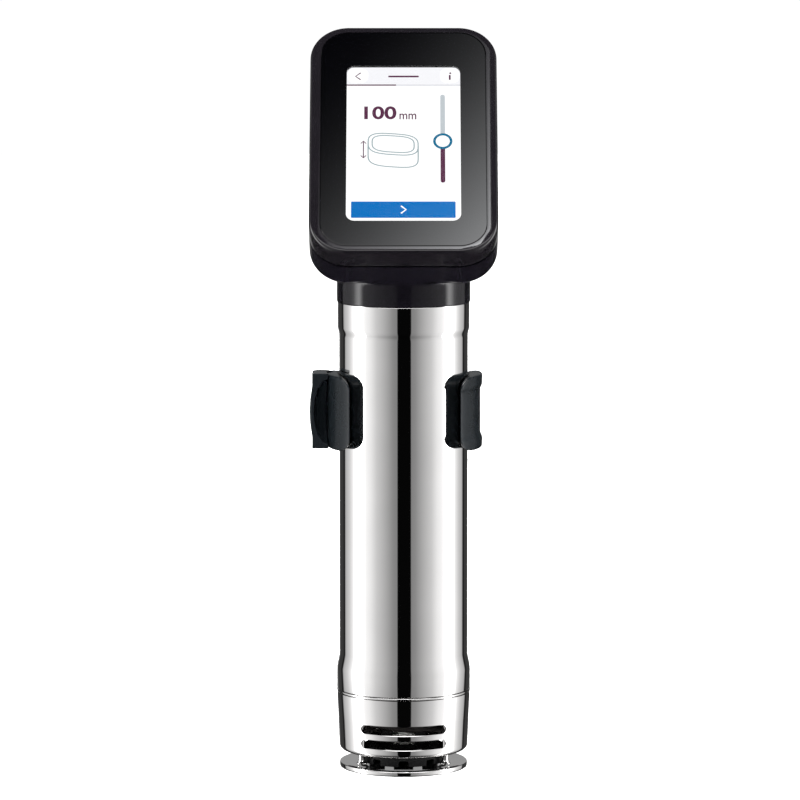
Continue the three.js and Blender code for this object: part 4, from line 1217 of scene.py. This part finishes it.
def makePowerButton():
    back = -head["depth"]
    corners = [headFrame.inverted() @ vertex.co for vertex in nodes["power_button"].data.vertices]
    tipLevel = max(corner.z for corner in corners) / mm
    radius, proud, dish, wide, foot = (buttonShape[key] for key in ("radius", "proud", "dish", "flange", "foot"))
    flange = back + head["wall"] + head["gap"]
    profile = [(0.4, back - proud + dish), (radius * 0.5, back - proud + dish * 0.8)]
    profile += [(radius * 0.8, back - proud + 0.08)]
    profile += arc(radius - 0.5, back - proud + 0.5, 0.5, -90, 0, 4)
    profile += [(radius, flange), (wide, flange), (wide, flange + 1.5)]
    profile += [(foot, flange + 1.5), (foot, tipLevel), (0.4, tipLevel)]
    rise = head["length"] - housing["buttonFromTop"]
    button = onHead(turned("power_cap", profile, 64), 0, rise)
    present(button, "button", "gloss_black", finishes["gloss_black"], "power_button")
    level = back - proud + 0.17 + display["below"] - 0.03
    around, line = buttonShape["sign"], buttonShape["line"]
    turns = [math.radians(angle) for angle in range(-145, 146, 10)]
    sweep = [(around * math.sin(turn), -around * math.cos(turn)) for turn in turns]
    bar = strokeLine("bar", [(0, 0.6), (0, 3)], line, level)
    sign = joined(strokeLine("sweep", sweep, line, level), bar)
    sign.name = sign.data.name = "power_sign"
    onHead(sign, 0, rise)
    present(sign, "button", "impeller_white", finishes["impeller_white"])


ventShape = {"slots": 5, "gap": 0.3, "inner": 31.15, "outer": 32.95, "margin": 2.5}


def makeVent():
    bottom, top = spanOf("vent_grille", "z")
    half = spanOf("vent_grille", "x")[1]
    plate = sleeve("vent_plate", ventShape["inner"], ventShape["outer"], bottom, top, 160)
    mask = facingRear("mask", half, bottom - 1, top + 1, 5, 45, 0.4)
    combine(plate, "INTERSECT", mask)
    pitch = (top - bottom) / (ventShape["slots"] + 0.5)
    slots = []
    for index in range(ventShape["slots"]):
        start, side = bottom + pitch * (index + 0.5), half - ventShape["margin"]
        slots.append(facingRear("vent_slot", side, start, start + pitch * 0.5, 5, 45, pitch * 0.24))
    combine(plate, "DIFFERENCE", *slots)
    present(plate, "housing", "satin_black", finishes["satin_black"], "vent_grille")


def makeGland():
    start, end = spanOf("cord_gland", "y")
    face = end - 7
    profile = [(3.6, start), (6.0, start), (6.4, start + 0.4), (6.4, face), (8.6, face), (9, face + 0.4)]
    profile += [(9, face + 2.0), (8.6, face + 2.5), (7.0, face + 2.9), (6.6, face + 3.4)]
    for groove in range(3):
        level = face + 3.6 + groove * 1.1
        radius = 6.4 - groove * 0.3
        profile += [(radius, level), (radius, level + 0.45)]
        profile += [(radius - 0.7, level + 0.6), (radius - 0.7, level + 0.95)]
    profile += [(5.4, end - 0.2), (5.0, end), (3.6, end), (3.6, start)]
    gland = alongY(turned("gland_sleeve", profile, 64), neckBottom + housing["glandRise"])
    present(gland, "housing", "rubber", finishes["rubber"], "cord_gland")


makeHousing()
makeHeadSeal()
makeHeadScrews()
makePowerButton()
makeVent()
makeGland()
print("housing is made")

# clamp collar, lever and bracket

collarLow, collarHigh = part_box("clamp_collar")
leverPin = Vector(joints["lever_hinge"]["pos_m"]) / mm
collar = {
    "bore": 32.5, "leftRadius": 38, "rightRadius": 39.2, "recess": 1, "recessHeight": 23.4,
    "leftEdge": 26.4, "rightEdge": 28, "corner": 6.5, "rear": 10, "bandRadius": 36.5, "bandLift": 4,
    "bandHeight": 25, "knuckle": 4.6, "knuckleHeight": 16.4, "voxel": 0.7, "ease": 20, "seatHalf": 14,
    "pinHole": 1.55,
}


def earFacing(name, edge, side):
    low, high = collarLow.z / mm, collarHigh.z / mm
    near, far = sorted((side * edge, side * 60))
    mask = roundedSlab(name, (near, low, -collar["rear"]), (far, high, 60), collar["corner"], 10)
    return placed(mask, Matrix.Rotation(math.pi / 2, 4, "X"))


def makeCollar():
    low, high = collarLow.z / mm, collarHigh.z / mm
    middle = leverPin.z
    bore = collar["bore"]
    leftRadius, rightRadius = collar["leftRadius"], collar["rightRadius"]
    body = sleeve("collar_shell", bore, leftRadius, low - 1, high + 1, 160)
    combine(body, "INTERSECT", earFacing("left_mask", collar["leftEdge"], -1))
    half = collar["recessHeight"] / 2
    deep = rightRadius - collar["recess"]
    right = turned("right_ear", [
        (bore, low - 1), (rightRadius, low - 1), (rightRadius, middle - half - 0.8), (deep, middle - half),
        (deep, middle + half), (rightRadius, middle + half + 0.8), (rightRadius, high + 1),
        (bore, high + 1), (bore, low - 1),
    ], 160)
    combine(right, "INTERSECT", earFacing("right_mask", collar["rightEdge"], 1))
    bottom = low + collar["bandLift"]
    top = bottom + collar["bandHeight"]
    outer = collar["bandRadius"]
    band = sleeve("band", bore, outer, bottom, top, 160)
    combine(band, "DIFFERENCE", block("front_half", (-90, -90, low), (90, collar["rear"] - 4, high)))
    seatHalf = collar["seatHalf"]
    seat = block("seat", (-seatHalf, bore * 0.9, bottom), (seatHalf, outer, top))
    combine(seat, "DIFFERENCE", plug("seat_bore", bore, low, high, 160))
    tall = collar["knuckleHeight"] / 2
    reach = collar["knuckle"] - 1
    x, y = leverPin.x, leverPin.y
    lugLow, lugHigh = middle - tall + 0.3, middle + tall - 0.3
    lug = moved(plug("lug", reach, lugLow, lugHigh, 32, 0.4), x, y)
    root = block("root", (x, y - reach, lugLow), (-bore - 2.75, y + reach, lugHigh))
    combine(body, "UNION", right, band, seat)
    swing = collar["knuckle"] + 0.7
    clearances = []
    for start, end in ((low - 2, middle - tall), (middle + tall, high + 2)):
        clearances.append(moved(plug("room", swing, start, end, 32, 0.4), x, y))
    combine(body, "DIFFERENCE", *clearances)
    combine(body, "UNION", lug, root)
    soften(body, collar["voxel"], collar["ease"])
    pinHole = plug("pin_hole", collar["pinHole"], low, high, 24, 0.4)
    combine(body, "DIFFERENCE", moved(pinHole, x, y))
    present(body, "clamp", "clamp_black", finishes["clamp_black"], "clamp_collar", angle=40)


# a moulding made from the merged copy of a plain solid, its corners eased
def mouldedFrom(node, name, voxel, passes):
    twin = bpy.data.objects.new(name, nodes[node].data.copy())
    bpy.context.scene.collection.objects.link(twin)
    twin.data.name = name
    fixNormals(twin, 1e-5)
    return soften(twin, voxel, passes)


def makeLever():
    lever = mouldedFrom("clamp_lever", "release_lever", 0.45, 4)
    present(lever, "lever", "clamp_black", finishes["clamp_black"], "clamp_lever", angle=40)


bracket = {
    "half": 14, "jawHalf": 16, "bridge": 10, "legCorner": 12, "voxel": 0.75, "ease": 4, "bushHole": 6.3,
    "leg": 8, "jaw": 4, "screwSide": 8.5, "screwHeight": 173,
}


def makeBracket():
    jawFront, legBack = spanOf("clamp_bracket", "y")
    bottom, top = spanOf("clamp_bracket", "z")
    half, jawHalf = bracket["half"], bracket["jawHalf"]
    legFront = legBack - bracket["leg"]
    body = block("bracket_body", (-half, jawFront, top - bracket["bridge"]), (half, legBack, top))
    leg = facingRear("leg", half, bottom, top, legFront, legBack, bracket["legCorner"])
    square = block("square", (-half, legFront, top - half), (half, legBack, top))
    jaw = facingRear("jaw", jawHalf, bottom, top, jawFront, jawFront + bracket["jaw"], 2.5)
    combine(body, "UNION", leg, square, jaw)
    soften(body, bracket["voxel"], bracket["ease"])
    low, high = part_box("clamp_spindle")
    spindleHeight = (low.z + high.z) / 2 / mm
    hole = plug("bush_hole", bracket["bushHole"], legFront - 3, legBack + 3, 48)
    combine(body, "DIFFERENCE", alongY(hole, spindleHeight))
    for x in (-bracket["screwSide"], bracket["screwSide"]):
        hole = turned("screw_hole", [
            (0.5, jawFront - 3), (1.8, jawFront - 3), (1.8, jawFront + 1.8), (3.2, jawFront + 1.8),
            (3.2, jawFront + 8), (0.5, jawFront + 8),
        ], 32)
        combine(body, "DIFFERENCE", alongY(hole, bracket["screwHeight"], x))
    present(body, "clamp", "clamp_black", finishes["clamp_black"], "clamp_bracket", angle=40)
    front, back = spanOf("screw_bush", "y")
    bush = turned("thread_bush", [
        (3.8, front + 0.4), (4.2, front), (5.6, front), (6, front + 0.4), (6, back - 0.4), (5.6, back),
        (4.2, back), (3.8, back - 0.4), (3.8, front + 0.4),
    ], 48)
    alongY(bush, spindleHeight)
    present(bush, "clamp", "brass", finishes["brass"], "screw_bush")
    return spindleHeight


def makeJawPad():
    bottom, top = spanOf("jaw_pad", "z")
    half = spanOf("jaw_pad", "x")[1]
    front, back = spanOf("jaw_pad", "y")
    pad = facingRear("jaw_rubber", half, bottom, top, front, back, 2)
    bevelEdges(pad, lambda a, b: abs(a.y - back) < 1e-3 and abs(b.y - back) < 1e-3, 0.4, 3)
    grooves = []
    count = 11
    for index in range(count):
        level = bottom + (top - bottom) * (index + 1) / (count + 1)
        start, end = (-half + 2, back - 0.6, level - 0.6), (half - 2, back + 1, level + 0.6)
        grooves.append(block("groove", start, end))
    combine(pad, "DIFFERENCE", *grooves)
    present(pad, "clamp", "rubber", finishes["rubber"], "jaw_pad")


screwParts = {
    "padRadius": 12, "faceRadius": 11, "spindle": 3.5, "pitch": 1.5, "thread": 0.45,
    "knobRadius": 15, "flute": 5.5, "lobes": 6,
}


def makeScrewParts(height):
    front, back = spanOf("pad_face", "y")
    radius = screwParts["faceRadius"]
    profile = [(0.6, front)]
    for ring in range(1, 4):
        place = ring * 2.9
        profile += [(place - 0.4, front), (place - 0.2, front + 0.5)]
        profile += [(place + 0.4, front + 0.5), (place + 0.6, front)]
    profile += [(radius - 0.5, front), (radius, front + 0.5), (radius, back), (0.6, back)]
    face = alongY(turned("pad_rubber", profile, 72), height)
    present(face, "pad", "rubber", finishes["rubber"], "pad_face")
    front, back = spanOf("pressure_pad", "y")
    radius, spindle = screwParts["padRadius"], screwParts["spindle"]
    floor = front + 2.3
    profile = [(0.6, front), (radius - 0.4, front), (radius, front + 0.4), (radius, back - 2.6)]
    profile += [(radius - 0.7, back - 2), (radius - 3.2, back - 1.7), (spindle + 3.4, back - 0.4)]
    profile += [(spindle + 2.8, back), (spindle + 0.3, back)]
    profile += [(spindle + 0.3, floor), (0.6, floor)]
    pad = alongY(turned("pad_body", profile, 72), height)
    present(pad, "pad", "clamp_black", finishes["clamp_black"], "pressure_pad")
    start, end = spanOf("clamp_spindle", "y")
    profile = [(0.5, start), (spindle - 0.6, start), (spindle, start + 0.6), (spindle, start + 4)]
    level = start + 4
    while level < end - 14:
        profile += [(spindle - screwParts["thread"], level + 0.5), (spindle, level + 1.0)]
        profile += [(spindle, level + screwParts["pitch"] - 0.25)]
        level += screwParts["pitch"]
    profile += [(spindle, end - 0.5), (spindle - 0.5, end), (0.5, end)]
    rod = alongY(turned("threaded_rod", profile, 40), height)
    present(rod, "screw", "plain_steel", finishes["plain_steel"], "clamp_spindle", angle=50)
    start, end = spanOf("clamp_knob", "y")
    radius = screwParts["knobRadius"]
    profile = [(0.5, start), (radius - 1.2, start), (radius, start + 1.2), (radius, end - 2.6)]
    profile += arc(radius - 2.6, end - 2.6, 2.6, 0, 90, 6)[1:]
    profile += [(radius - 4, end - 0.2), (8.4, end - 0.4), (8.0, end - 1.0)]
    profile += [(7.2, end - 1.0), (6.8, end - 0.5), (0.5, end - 0.3)]
    knob = turned("grip_knob", profile, 120)
    flutes = []
    lobes, away = screwParts["lobes"], radius + 3
    for lobe in range(lobes):
        angle = math.radians(360 / lobes * (lobe + 0.5))
        flute = plug("flute", screwParts["flute"], start - 3, end + 3, 40)
        flutes.append(moved(flute, away * math.sin(angle), -away * math.cos(angle)))
    combine(knob, "DIFFERENCE", *flutes)
    soften(knob, 0.5, 3)
    combine(knob, "DIFFERENCE", plug("socket", spindle + 0.3, start - 3, end - 2.5, 40))
    alongY(knob, height)
    present(knob, "screw", "clamp_black", finishes["clamp_black"], "clamp_knob", angle=40)


makeCollar()
makeLever()
spindleHeight = makeBracket()
makeJawPad()
makeScrewParts(spindleHeight)
print("clamp is made")

# heater, pump cage and impeller, seen when the skirt is off

pump = {"cageWall": 1.2, "cageRadius": 12.7, "lip": 13.7}


def makeWetParts():
    coil = mouldedFrom("heater_coil", "heating_coil", 0.6, 6)
    present(coil, "housing", "plain_steel", finishes["dark_steel"], "heater_coil", angle=60)
    bottom, top = spanOf("pump_cage", "z")
    radius = pump["cageRadius"]
    inner = radius - pump["cageWall"]
    cage = turned("pump_guard", [
        (inner, bottom), (radius - 0.3, bottom), (radius, bottom + 0.3), (radius, top - 2),
        (pump["lip"], top - 2), (pump["lip"], top), (inner, top), (inner, bottom),
    ], 96)
    half = radius * 0.45
    for turn in (0, math.pi / 2):
        window = block("window", (-half, -20, bottom + 3), (half, 20, top - 8))
        combine(cage, "DIFFERENCE", placed(window, Matrix.Rotation(turn, 4, "Z")))
    present(cage, "housing", "inner_black", finishes["inner_black"], "pump_cage")


makeWetParts()

# the inner parts keep their plain shapes and get a finish each
innerFinishes = {
    "plain_steel": (
        "bulkhead", "temperature_probe", "level_probe_low", "level_probe_high", "lower_bearing",
        "upper_bearing", "motor", "tie_rod_1", "tie_rod_2", "tie_rod_3", "pump_shaft", "motor_shaft",
        "bracket_screw_1", "bracket_screw_2", "lever_pin",
    ),
    "aluminium": ("motor_plate", "shaft_coupler", "heat_sink"),
    "circuit_board": ("display_board", "main_board"),
    "inner_black": ("relay", "capacitor", "button_switch", "cooling_fan"),
    "rubber": ("bulkhead_seal", "shaft_seal"),
    "impeller_white": ("impeller",),
}
for finish, members in innerFinishes.items():
    for member in members:
        nodes[member].data.materials.clear()
        nodes[member].data.materials.append(finishes[finish])
print("inner parts are finished")

hangPanel(headPoint(0, head["length"] / 2, 0), outward, Vector((1, 0, 0)))
